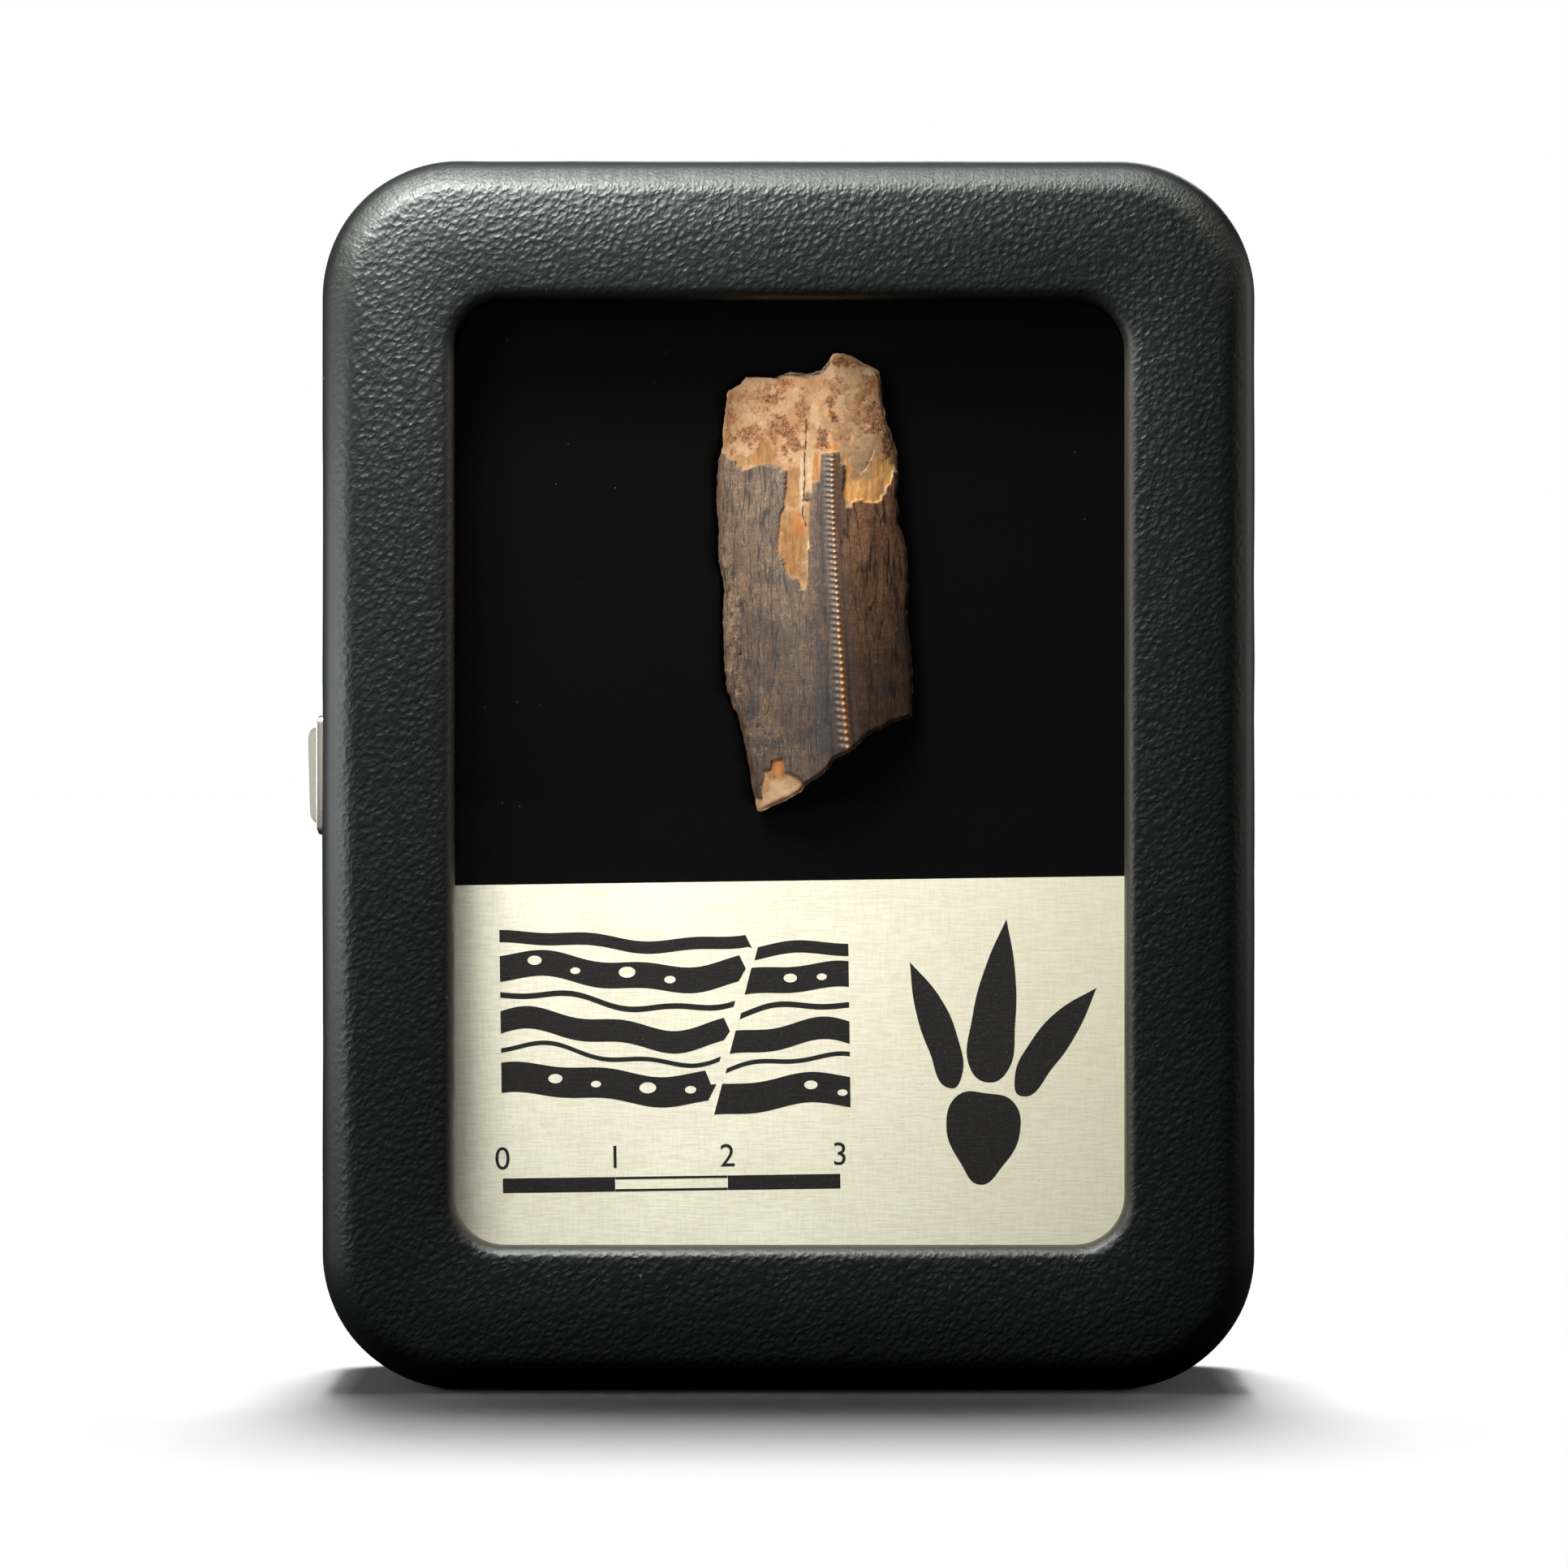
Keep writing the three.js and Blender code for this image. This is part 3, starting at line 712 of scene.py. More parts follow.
def pocket_cutter():
    """The tooth's outline, widened and run back from the pad's face to the pocket's floor."""
    shares = np.linspace(0, 1, 40)[:-1]
    backwards = 1 - shares
    edges = [
        along(LOWER_BREAK, shares), along(RIGHT_BREAK, shares),
        along(UPPER_BREAK, backwards), along(LEFT_BREAK, backwards),
    ]
    outline = np.concatenate(edges) * MM
    start_piece("pocket")
    mesh = bmesh.from_edit_mesh(bpy.context.object.data)
    front = [mesh.verts.new((x, pad_low.y - MM, z)) for x, z in outline]
    mesh.faces.new(front)
    bmesh.update_edit_mesh(bpy.context.object.data)
    take_all()
    bpy.ops.mesh.normals_make_consistent()
    depth = tooth_high.y + POCKET_FLOOR - pad_low.y + MM
    bpy.ops.mesh.extrude_region_move(TRANSFORM_OT_translate={"value": (0, depth, 0)})
    take_all()
    bpy.ops.mesh.normals_make_consistent()
    bpy.ops.transform.shrink_fatten(value=POCKET_GAP)
    put_down()
    return bpy.context.object


pad = start_piece("foam_pad")
add_block(pad_low, pad_high, PAD_CORNER_RADIUS)
round_end(pad_low.y, 0.8 * MM, 4)
put_down()
combine(pad, pocket_cutter())
remesh = pad.modifiers.new("foam", "REMESH")
remesh.mode = "VOXEL"
remesh.voxel_size = FOAM_STEP
bpy.ops.object.modifier_apply(modifier=remesh.name)
for vert in pad.data.vertices:
    if vert.co.y < pad_low.y + 0.3 * MM:
        vert.co.y += FOAM_UNEVENNESS * (0.75 + 0.6 * slack(vert.co, 5 * MM))
        vert.co.y = max(vert.co.y, pad_low.y)
tidy_surface(pad, crease=60)
pad.data.materials.append(flock("flocked_foam", paint(5, 5, 5), paint(6, 6, 6)))
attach(pad, "base")
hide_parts("backing_pad")


# ---- label card: cream laid card, cut by hand and laid on the pad a little out of level ----
# Its face is embossed with a linen pattern. A black footprint, a band of rock layers and a
# centimetre scale are printed on it.
CARD_WIDTH = 68 * MM
CARD_HEIGHT = 37.1 * MM
CARD_THICKNESS = 0.4 * MM
CARD_CORNER = 0.6 * MM
CARD_TILT = math.radians(0.8)
CARD_CURL = 0.16 * MM
card_low, card_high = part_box("label_card")
card_middle = (card_low + card_high) / 2


def laid_card():
    """Cream card with a linen emboss: short raised threads both ways, with painted shade that darkens it
    towards the right.
    """
    finish, place = start_finish("laid_card")
    loose = place.shaken(1.1, 0.07)
    threads = loose.stretched(1.5, 1, 0.15).clouds(2.0)
    cross = loose.stretched(0.17, 1, 1.3).clouds(2.0)
    pulp = place.clouds(4.0, 0.25)
    weave = threads * 0.62 + cross * 0.38
    plain_cream = mixed(place.clouds(3.0, 9).step(0.35, 0.7), paint(244, 238, 218), paint(238, 232, 212))
    # painted shade: the card is darkened towards its right side
    card_right_shade = place.add("SeparateXYZ", {}, {0: place}, "X").step(-0.012, 0.036)
    cream = mixed(card_right_shade, plain_cream, paint(218, 212, 188))
    shaded = mixed(weave.step(0.36, 0.62) * 0.3 + 0.7, paint(190, 180, 152), cream)
    flecks = (1 - place.cells(size=1.7).step(0.03, 0.06)) * 0.35
    return set_surface(finish, {
        "Base Color": mixed(flecks, shaded, paint(150, 128, 92)),
        "Roughness": 0.78 + pulp * 0.15,
        "Specular IOR Level": 0.3,
        "Normal": (weave + pulp * 0.3).bump(0.02),
    })


def card_rise(x, z):
    """How far the card stands off the pad there: it curls a little along its edges."""
    across = (x - card_middle.x) / (CARD_WIDTH / 2)
    up = (z - card_middle.z) / (CARD_HEIGHT / 2)
    lower_curl = max(across - 0.2, 0) * max(-up - 0.2, 0)
    upper_curl = 0.35 * max(up - 0.4, 0) * (0.5 + 0.5 * math.sin(5 * across))
    return CARD_CURL * (lower_curl + upper_curl)


card = start_piece("card")
half_card = Vector((CARD_WIDTH, CARD_THICKNESS, CARD_HEIGHT)) / 2
flat_low, flat_high = card_middle - half_card, card_middle + half_card
add_block(flat_low, flat_high, CARD_CORNER, 4)
bpy.ops.mesh.bisect(plane_co=card_middle, plane_no=(1, 0, 0))
for share in np.linspace(0.05, 0.95, 19):
    for axis, normal in ((0, (1, 0, 0)), (2, (0, 0, 1))):
        cut = Vector(flat_low)
        cut[axis] += 2 * half_card[axis] * share
        take_all()
        bpy.ops.mesh.bisect(plane_co=cut, plane_no=normal)
put_down()
for vert in card.data.vertices:
    vert.co.y -= card_rise(vert.co.x, vert.co.z)
take_up()
bpy.ops.transform.rotate(value=CARD_TILT, orient_axis="Y", center_override=card_middle)
put_down()
tidy_surface(card, crease=30)
card.data.materials.append(laid_card())
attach(card, "base")
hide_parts("label_card")


# ---- card print: a footprint, a band of faulted rock layers and a scale, in black ink ----
# It is printed in one pass. The ink lies on the card's face in a film that can just be felt.
INK_FILM = 0.012 * MM
INK_DEPTH = 0.03 * MM
INK_GRID = 2.5

# All in millimetres across and up from the middle of the case's foot.
LAYERS = (
    # height of the foot, thickness, size of the waves
    (38.9, 1.1, 0.5), (35.6, 2.3, 0.7), (33.9, 0.5, 0.8),
    (30.6, 2.0, 0.9), (29.2, 0.4, 0.9), (25.4, 2.7, 0.6),
)
LAYERS_LEFT = -25.5
LAYERS_RIGHT = 5.5
FAULT_FOOT = -7.0
FAULT_LEAN = 0.28
FAULT_GAP = 0.5
FAULT_DROP = 1.3
PEBBLES = ((-22.4, 0.42), (-18.8, 0.3), (-14.2, 0.5), (-10.4, 0.34), (0.3, 0.4), (3.1, 0.3))

# The footprint's parts, each from its base round its tip; the sharp corner is the claw's.
FOOTPRINT = (
    ((
        (-1.6, 10.2), (-2.0, 15.2), (-1.2, 20.2), (0.1, 24.2),
        (1.3, 20.0), (1.9, 15.0), (1.5, 10.2), (0, 9.3),
    ), 3),
    (((-3.2, 8.4), (-5.6, 11.6), (-7.3, 15.4), (-8.2, 19.4), (-5.2, 16.6), (-3.2, 13.2), (-2.4, 9.6)), 3),
    (((3.1, 8.4), (2.4, 10.0), (3.5, 13.4), (5.6, 16.4), (8.9, 18.9), (7.7, 15.0), (5.8, 11.4)), 4),
    (((-2.5, 7.9), (0, 8.3), (2.5, 7.8), (3.4, 5.0), (2.1, 1.8), (0.3, 0.0), (-1.6, 1.7), (-3.3, 5.0)), -1),
)
FOOTPRINT_PLACE = (16.6, 17.4)
FOOTPRINT_TURN = math.radians(-7)
FOOTPRINT_SIZE = 0.98

SCALE_FOOT = 17.2
SCALE_LEFT = -25.5
SCALE_HEIGHT = 1.3
SCALE_LINE = 0.22
NUMBER_SIZE = 2.9
NUMBER_GAP = 0.8


def start_print(name):
    drawing = bpy.data.curves.new(name, "CURVE")
    drawing.dimensions = "2D"
    drawing.fill_mode = "BOTH"
    drawing.resolution_u = 8
    film = bpy.data.objects.new(name, drawing)
    bpy.context.collection.objects.link(film)
    return film


def draw(film, corners, sharp=None):
    """Adds a closed outline: straight between its corners, or smooth but for one sharp corner."""
    spline = film.data.splines.new("POLY" if sharp is None else "BEZIER")
    points = spline.points if sharp is None else spline.bezier_points
    points.add(len(corners) - 1)
    for number, (point, (x, z)) in enumerate(zip(points, corners)):
        if sharp is None:
            point.co = (x * MM, z * MM, 0, 1)
        else:
            point.co = (x * MM, z * MM, 0)
            point.handle_left_type = "VECTOR" if number == sharp else "AUTO"
            point.handle_right_type = point.handle_left_type
    spline.use_cyclic_u = True


def fault_at(height):
    return FAULT_FOOT + FAULT_LEAN * (height - 25)


def bed_height(x, foot, wave):
    """Where a rock layer's foot lies there: folded, and dropped beyond the fault."""
    drop = FAULT_DROP if x > fault_at(foot) else 0
    return foot - drop + wave * (math.sin(0.24 * x + 0.9) + 0.35 * math.sin(0.71 * x + foot))


def divide_print():
    """Cuts the print into small faces, which can follow the card's curl."""
    for axis, start, end in ((0, -27, 27), (1, 15, 45)):
        for place in np.arange(start, end, INK_GRID):
            plane = [0, 0, 0]
            plane[axis] = place * MM
            take_all()
            bpy.ops.mesh.bisect(plane_co=plane, plane_no=(1 - axis, axis, 0))
    take_all()
    bpy.ops.mesh.quads_convert_to_tris()
    bpy.ops.mesh.normals_make_consistent()


def finish_print(film, shift=(0, 0), divided=True):
    """Makes the drawing a thin film and sets it upright on the card's face."""
    bpy.ops.object.select_all(action="DESELECT")
    film.select_set(True)
    bpy.context.view_layer.objects.active = film
    film.data.extrude = INK_DEPTH
    bpy.ops.object.convert(target="MESH")
    film = bpy.context.object
    take_up()
    bpy.ops.mesh.remove_doubles(threshold=DOUBLES)
    if divided:
        divide_print()
    put_down()
    lean = math.sin(CARD_TILT)
    ink_y = card_middle.y - CARD_THICKNESS / 2 + INK_DEPTH - INK_FILM
    for vert in film.data.vertices:
        x, z, thick = vert.co + Vector((*shift, 0)) * MM
        level_x = x - (z - card_middle.z) * lean
        level_z = z + (x - card_middle.x) * lean
        vert.co = (x, ink_y - card_rise(level_x, level_z) - thick, z)
    take_up()
    bpy.ops.mesh.normals_make_consistent()
    bpy.ops.transform.rotate(value=CARD_TILT, orient_axis="Y", center_override=card_middle)
    put_down()
    bpy.ops.object.transform_apply()
    film.data.materials.clear()
    film.data.materials.append(ink)
    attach(film, "base")


def printing_ink():
    """Matt black ink that lets a little of the card's emboss through."""
    finish, place = start_finish("printing_ink")
    grain = place.clouds(3.0, 0.12)
    threads = place.stretched(1.6, 1, 0.17).clouds(2.0)
    black = mixed(grain.step(0.3, 0.7), paint(16, 15, 14), paint(30, 28, 26))
    return set_surface(finish, {
        "Base Color": mixed(grain.step(0.66, 0.76) * 0.5, black, paint(120, 114, 98)),
        "Roughness": 0.55 + grain * 0.2,
        "Specular IOR Level": 0.3,
        "Normal": (threads + grain * 0.3).bump(0.02),
    })


ink = printing_ink()
beds = start_print("printed_layers")
for foot, thickness, wave in LAYERS:
    for beyond in (False, True):
        outline = []
        for rise in (0, thickness):
            fault = fault_at(foot + rise)
            ends = (fault + FAULT_GAP / 2, LAYERS_RIGHT) if beyond else (LAYERS_LEFT, fault - FAULT_GAP / 2)
            side = [(float(x), bed_height(x, foot, wave) + rise) for x in np.linspace(*ends, 40)]
            outline += side[::-1] if rise else side
        draw(beds, outline)
for x, radius in PEBBLES:
    for number, (foot, thickness, wave) in enumerate((LAYERS[1], LAYERS[5])):
        middle_x = x + 1.7 * number
        middle_z = bed_height(middle_x, foot, wave) + thickness * (0.42 + 0.2 * math.sin(3 * x))
        turns = [2 * math.pi * part / 18 for part in range(18)]
        pebble = [(1.5 * radius * math.cos(turn), radius * math.sin(turn)) for turn in turns]
        draw(beds, [(middle_x + across, middle_z + up) for across, up in pebble])
finish_print(beds)

track = start_print("printed_footprint")
turn_cos = FOOTPRINT_SIZE * math.cos(FOOTPRINT_TURN)
turn_sin = FOOTPRINT_SIZE * math.sin(FOOTPRINT_TURN)
for corners, sharp in FOOTPRINT:
    turned = [
        (FOOTPRINT_PLACE[0] + x * turn_cos - z * turn_sin, FOOTPRINT_PLACE[1] + x * turn_sin + z * turn_cos)
        for x, z in corners
    ]
    draw(track, turned, sharp)
finish_print(track)

rule = start_print("printed_scale")
scale_top = SCALE_FOOT + SCALE_HEIGHT
for start, end, foot, top in (
    (0, 9.98, SCALE_FOOT, scale_top),
    (10.0, 19.98, SCALE_FOOT, SCALE_FOOT + SCALE_LINE),
    (10.0, 19.98, scale_top - SCALE_LINE, scale_top),
    (20.0, 30.0, SCALE_FOOT, scale_top),
):
    left, right = SCALE_LEFT + start, SCALE_LEFT + end
    draw(rule, ((left, foot), (right, foot), (right, top), (left, top)))
finish_print(rule)

for number in range(4):
    bpy.ops.object.text_add()
    text = bpy.context.object
    text.name = f"printed_number_{number}"
    text.data.name = text.name
    text.data.body = str(number)
    text.data.size = NUMBER_SIZE * MM
    text.data.align_x = "CENTER"
    text.data.fill_mode = "BOTH"
    text.data.resolution_u = 4
    finish_print(text, (SCALE_LEFT + 10 * number, scale_top + NUMBER_GAP), divided=False)


# ---- tooth: a fragment of a crown, broken all round, with its serrated ridge to the front ----
# Dark enamel covers most of it. Where the enamel has flaked off in square steps, the cream and
# orange dentine shows, crusted with rust towards the root. It is bedded loose in the pad's pocket.
FRONT_COLUMNS = 161
FRONT_ROWS = 385
BACK_EVERY = 2
SKIRT_RINGS = 8
BACK_TAPER = 0.05

# The flanks fall away from the ridge in a convex curve, as on the crown. In millimetres.
RIDGE_SPOTS = (
    (3.86, 82.2), (3.86, 78.6), (4.04, 74.4), (4.18, 71.7), (4.32, 69.4), (4.46, 66.6), (4.68, 63.7),
    (4.82, 60.9), (5.0, 58.8), (5.25, 56.3),
)
RIDGE_SLOPE = 0.08
LEFT_FALL = 0.035
RIGHT_FALL = 0.065
CREST_BOW = 0.0011
CROWN_MIDDLE = 70.0
ENAMEL_THICKNESS = 0.17
SERRATION_PITCH_TOP = 0.44
SERRATION_PITCH_LOW = 0.65
SERRATED_TOP = 82.2
SERRATED_LOW = 56.0

# Where the enamel ends: its stepped edge from left to right, and the bare patch at the tip.
ENAMEL_EDGE = (
    (-5.9, 82.65), (-5.04, 81.9), (-4.75, 81.9), (-4.7, 81.4), (-4.25, 81.4), (-4.1, 80.95),
    (-3.2, 81.2), (-2.4, 81.45), (-1.4, 81.4), (-1.3, 81.25), (-0.8, 81.25), (-0.75, 80.9),
    (-0.2, 80.85), (-0.3, 79.1), (-0.45, 77.7), (-0.75, 77.2), (-0.82, 76.2), (-0.96, 75.1),
    (-1.04, 74.05), (-0.93, 73.3), (-0.54, 73.2), (-0.46, 72.55), (-0.1, 71.7), (0.25, 71.35),
    (0.7, 71.35), (0.9, 70.95), (1.0, 70.35), (1.57, 70.35), (1.7, 70.95), (1.7, 73.8), (2.05, 74.3),
    (1.8, 74.8), (1.82, 76.2), (1.9, 78.3), (1.3, 78.35), (1.3, 78.95), (2.1, 78.95), (2.15, 79.8),
    (2.75, 79.85), (2.8, 80.6), (2.9, 82.3), (4.4, 82.45), (4.45, 81.45), (4.95, 81.35), (4.9, 80.2),
    (4.75, 79.4), (4.75, 78.7), (4.95, 77.6), (5.55, 77.55), (5.65, 78.05), (6.55, 78.3), (6.6, 78.05),
    (7.75, 78.05), (8.25, 78.3), (8.3, 78.7), (8.65, 78.95), (8.7, 79.5), (9.05, 79.8), (9.25, 80.5),
    (9.3, 80.9), (9.9, 80.9),
)
TIP_PATCH = (
    (-1.46, 55.3), (-0.46, 55.45), (-0.3, 54.3), (0.25, 54.1), (0.8, 53.85), (1.25, 53.2), (1.6, 52.6),
    (1.0, 50.0), (-3.3, 50.0), (-3.1, 52.0), (-2.4, 52.0), (-2.45, 53.1), (-2.25, 53.7), (-2.2, 54.4),
    (-1.55, 54.55),
)
BARE_CROWN = ENAMEL_EDGE + ((14, 81), (14, 95), (-10, 95), (-10, 82.65))
CRACK = ((1.6, 85.4), (1.54, 83.4), (1.39, 81.3), (1.46, 79.9), (1.32, 78.6), (1.25, 76.95), (1.6, 75.9))

# Patches of stain and crust: the middle, the reach across and up, and the strength.
YELLOW_STAINS = (
    (-2.1, 82.5, 1.3, 1.3, 1.0), (-4.3, 81.9, 1.3, 0.7, 0.6), (2.5, 81.0, 0.6, 2.0, 1.0),
    (3.4, 83.0, 1.3, 0.45, 1.0), (0.3, 74.4, 1.5, 3.6, 0.9), (0.6, 79.4, 1.2, 2.4, 0.55),
    (6.7, 79.0, 2.2, 1.7, 0.9), (8.3, 80.6, 1.5, 1.7, 1.0), (5.2, 80.0, 0.5, 2.4, 0.7),
    (-1.0, 54.7, 1.0, 1.4, 1.0), (3.75, 86.0, 0.5, 0.45, 0.8), (7.6, 88.4, 0.9, 1.4, 0.3),
)
ORANGE_STAINS = (
    (0.9, 76.2, 0.7, 1.3, 1.0), (-2.9, 81.8, 0.6, 0.45, 0.8), (2.4, 81.6, 0.35, 0.5, 0.7),
    (-1.0, 54.9, 0.6, 1.1, 1.3), (4.2, 82.9, 0.7, 0.25, 1.0), (0.45, 79.2, 0.14, 2.4, 0.7),
    (8.4, 78.9, 0.6, 0.5, 0.5), (-0.9, 74.0, 0.3, 1.6, 0.6), (-0.2, 88.4, 1.0, 0.7, 0.8),
    (1.6, 88.8, 2.2, 0.3, 0.5), (4.4, 90.6, 1.0, 0.6, 0.7), (-3.6, 88.6, 1.6, 0.6, 0.4),
    (2.6, 86.6, 0.5, 0.8, 0.6), (0.2, 72.6, 0.35, 0.8, 0.6), (5.0, 80.2, 0.2, 1.4, 0.5),
    (1.0, 83.6, 0.3, 0.8, 0.5),
)
RUST_PATCHES = (
    (-1.4, 87.2, 0.9, 0.6, 1.0), (-3.5, 84.2, 1.8, 1.0, 0.9), (-0.6, 84.6, 1.5, 1.4, 1.0),
    (1.3, 86.2, 0.6, 2.2, 0.8), (0.3, 83.3, 1.1, 1.1, 1.0), (3.95, 85.65, 0.5, 0.5, 1.2),
    (3.1, 83.7, 0.7, 0.9, 1.15), (7.8, 85.4, 1.7, 2.2, 0.9), (9.0, 83.0, 1.0, 1.7, 1.15),
    (-5.3, 85.4, 0.8, 3.4, 0.8), (-0.4, 88.6, 1.8, 0.8, 0.75), (5.0, 90.4, 1.8, 0.7, 0.9),
    (3.7, 86.9, 0.35, 0.4, 1.0), (9.2, 81.8, 0.5, 0.8, 0.9), (4.3, 88.2, 1.2, 1.0, 0.6),
    (7.2, 88.4, 1.2, 1.2, 0.6), (5.0, 84.0, 1.4, 1.0, 0.5), (-3.0, 87.2, 2.4, 1.4, 0.5),
    (6.9, 81.6, 0.3, 0.3, 0.9), (6.0, 86.6, 1.2, 1.6, 0.45),
)
SMOKY_PATCHES = (
    (-3.7, 64.0, 0.4, 0.9, 1.0), (-1.75, 62.0, 0.28, 0.8, 1.0), (-3.1, 60.0, 0.8, 1.7, 0.9),
    (-2.0, 56.9, 2.4, 1.1, 0.9), (0.6, 57.2, 1.8, 0.9, 0.5), (3.0, 62.0, 0.75, 6.0, 0.9),
    (3.1, 57.0, 1.2, 1.8, 0.8), (2.9, 72.0, 0.7, 6.0, 0.8), (3.0, 79.4, 0.9, 3.0, 0.8),
    (10.2, 66.6, 0.7, 2.2, 1.0), (8.4, 61.8, 1.4, 1.6, 0.6), (7.0, 59.3, 0.35, 0.35, 0.9),
    (1.2, 66.8, 0.8, 0.8, 0.4), (5.6, 63.4, 0.5, 1.1, 0.8), (4.9, 79.6, 0.25, 2.4, 0.6),
)
PITTED_PATCHES = (
    (-5.1, 67.4, 1.1, 4.4, 1.0), (-5.5, 73.8, 0.7, 2.6, 0.7), (-4.6, 62.4, 0.9, 1.8, 0.9),
    (-2.6, 58.0, 1.4, 1.6, 0.5), (-5.2, 78.0, 0.6, 3.0, 0.4),
)
PALE_PATCHES = (
    (7.15, 89.7, 0.6, 0.5, 1.3), (1.2, 79.6, 0.25, 3.2, 0.9), (1.85, 80.6, 0.3, 2.4, 0.6),
    (6.4, 82.6, 1.6, 1.4, 0.4), (1.75, 73.2, 0.14, 2.4, 1.2), (4.9, 87.4, 1.2, 1.8, 0.5),
    (-0.7, 52.8, 1.8, 1.4, 0.5), (9.3, 80.8, 0.25, 0.8, 0.9), (-3.9, 86.4, 1.6, 1.2, 0.4),
    (1.4, 84.2, 0.5, 1.6, 0.45), (2.4, 85.8, 0.6, 1.6, 0.5),
)
LEDGE = ((-1.2, 89.35), (-0.3, 89.55), (0.3, 89.6), (1.6, 89.35), (2.8, 89.65), (3.4, 90.3))
SCRATCH = ((7.62, 82.85), (7.52, 82.25), (7.2, 81.8), (6.95, 81.1), (6.4, 80.6))


def noise_field(x, z, size, seed):
    """Smooth numbers from -1 to 1 that change over that size, for whole arrays of places."""
    table = np.random.default_rng(seed).uniform(-1, 1, (64, 64))
    across, up = x / size + 31.7, z / size + 17.3
    column, row = np.floor(across).astype(int), np.floor(up).astype(int)
    right, top = across - column, up - row
    right, top = right * right * (3 - 2 * right), top * top * (3 - 2 * top)
    corner = [[table[(row + j) % 64, (column + i) % 64] for i in (0, 1)] for j in (0, 1)]
    low = corner[0][0] * (1 - right) + corner[0][1] * right
    high = corner[1][0] * (1 - right) + corner[1][1] * right
    return low * (1 - top) + high * top


def ramp(value, start, end):
    share = np.clip((value - start) / (end - start), 0, 1)
    return share * share * (3 - 2 * share)


def distance_to(line, x, z):
    nearest = np.full(x.shape, 99.0)
    for (x_from, z_from), (x_to, z_to) in zip(line, line[1:]):
        run_x, run_z = x_to - x_from, z_to - z_from
        share = ((x - x_from) * run_x + (z - z_from) * run_z) / (run_x**2 + run_z**2)
        share = np.clip(share, 0, 1)
        nearest = np.minimum(nearest, np.hypot(x - x_from - share * run_x, z - z_from - share * run_z))
    return nearest


def within(outline, x, z):
    inside = np.zeros(x.shape, bool)
    for (x_from, z_from), (x_to, z_to) in zip(outline, outline[1:] + outline[:1]):
        if z_from != z_to:
            crossed = (z_from > z) != (z_to > z)
            inside ^= crossed & (x < x_from + (z - z_from) * (x_to - x_from) / (z_to - z_from))
    return inside


def rough(x, z, *layers):
    """Unevenness made of layers of noise, each with its height, its size and its seed."""
    return sum(height * noise_field(x, z, size, seed) for height, size, seed in layers)


def hump(value, middle, width):
    return np.exp(-(((value - middle) / width) ** 2))


def patches(spots, x, z, ragged, seed):
    """How strongly the patches cover each place, with ragged borders."""
    cover = np.zeros(x.shape)
    torn = ragged * rough(x, z, (1, 0.5, seed), (0.6, 0.21, seed + 1))
    for x_middle, z_middle, width, height, strength in spots:
        reach = np.hypot((x - x_middle) / width, (z - z_middle) / height) + torn
        cover = np.maximum(cover, strength * (1 - ramp(reach, 0.45, 1.15)))
    return cover


def fragment_face(across, up):
    """The fragment's face between its four broken edges, for shares across and up."""
    low, high = along(LOWER_BREAK, across)[None], along(UPPER_BREAK, across)[None]
    left, right = along(LEFT_BREAK, up)[:, None], along(RIGHT_BREAK, up)[:, None]
    u, v = across[None, :, None], up[:, None, None]
    corners = low[:, :1] * (1 - u) * (1 - v) + low[:, -1:] * u * (1 - v)
    corners = corners + high[:, :1] * (1 - u) * v + high[:, -1:] * u * v
    return low * (1 - v) + high * v + left * (1 - u) + right * u - corners


# Columns of points are closer together along the ridge, which lies about 0.61 of the way across.
shares = np.linspace(0, 1, FRONT_COLUMNS)
RIDGE_SHARE = 0.612
crowding = 1 + 1.3 * np.exp(-(((shares - RIDGE_SHARE) / 0.07) ** 2))
columns = np.concatenate([[0], np.cumsum(1 / (crowding[1:] + crowding[:-1]))])
columns = columns / columns[-1]
rows = np.linspace(0, 1, FRONT_ROWS)
face = fragment_face(columns, rows)
x, z = face[..., 0], face[..., 1]
x = x + rough(z, x, (0.05, 0.45, 11), (0.03, 0.2, 12))
z = z + rough(x, z, (0.05, 0.5, 13), (0.03, 0.22, 14))

ridge_across, ridge_up = zip(*RIDGE_SPOTS[::-1])
aside = x - np.interp(z, ridge_up, ridge_across)
fall = np.where(aside < 0, LEFT_FALL, RIGHT_FALL)
front = tooth_low.y / MM + RIDGE_SLOPE * np.sqrt(aside**2 + 0.04) + fall * aside**2
front = front + CREST_BOW * (z - CROWN_MIDDLE) ** 2

outline = LOWER_BREAK + RIGHT_BREAK[1:] + UPPER_BREAK[::-1][1:] + LEFT_BREAK[::-1][1:]
from_edge = distance_to(outline, x, z)
jitter = rough(x, z, (0.06, 0.3, 21))
bare = within(BARE_CROWN, x + jitter, z + jitter) | within(TIP_PATCH, x + jitter, z - jitter)
enamel_gap = np.minimum(distance_to(ENAMEL_EDGE, x, z), distance_to(TIP_PATCH, x, z))
enamel = np.where(bare, 0.0, 1.0)
step_height = np.where(bare, -ENAMEL_THICKNESS * ramp(enamel_gap, -0.03, 0.12), 0.0)

# The denticles get wider towards the tip, so their count grows with the logarithm of the height.
pitch_slope = (SERRATION_PITCH_LOW - SERRATION_PITCH_TOP) / (SERRATED_TOP - SERRATED_LOW)
below_top = np.maximum(SERRATED_TOP - z, 0)
serration = np.log1p(below_top * pitch_slope / SERRATION_PITCH_TOP) / pitch_slope
low_share = ramp(z, 72, 58)
bar_left = 0.55 + 0.3 * low_share
lean = 0.18 * np.clip(-aside / bar_left, 0, 1)
bars = (0.5 + 0.5 * np.cos(2 * math.pi * (serration + lean))) ** 0.8
bar_cover = ramp(aside, -bar_left - 0.15, -bar_left + 0.15) * ramp(aside, 0.36, 0.2) * enamel
bar_cover = bar_cover * ramp(z, SERRATED_LOW, SERRATED_LOW + 0.5)
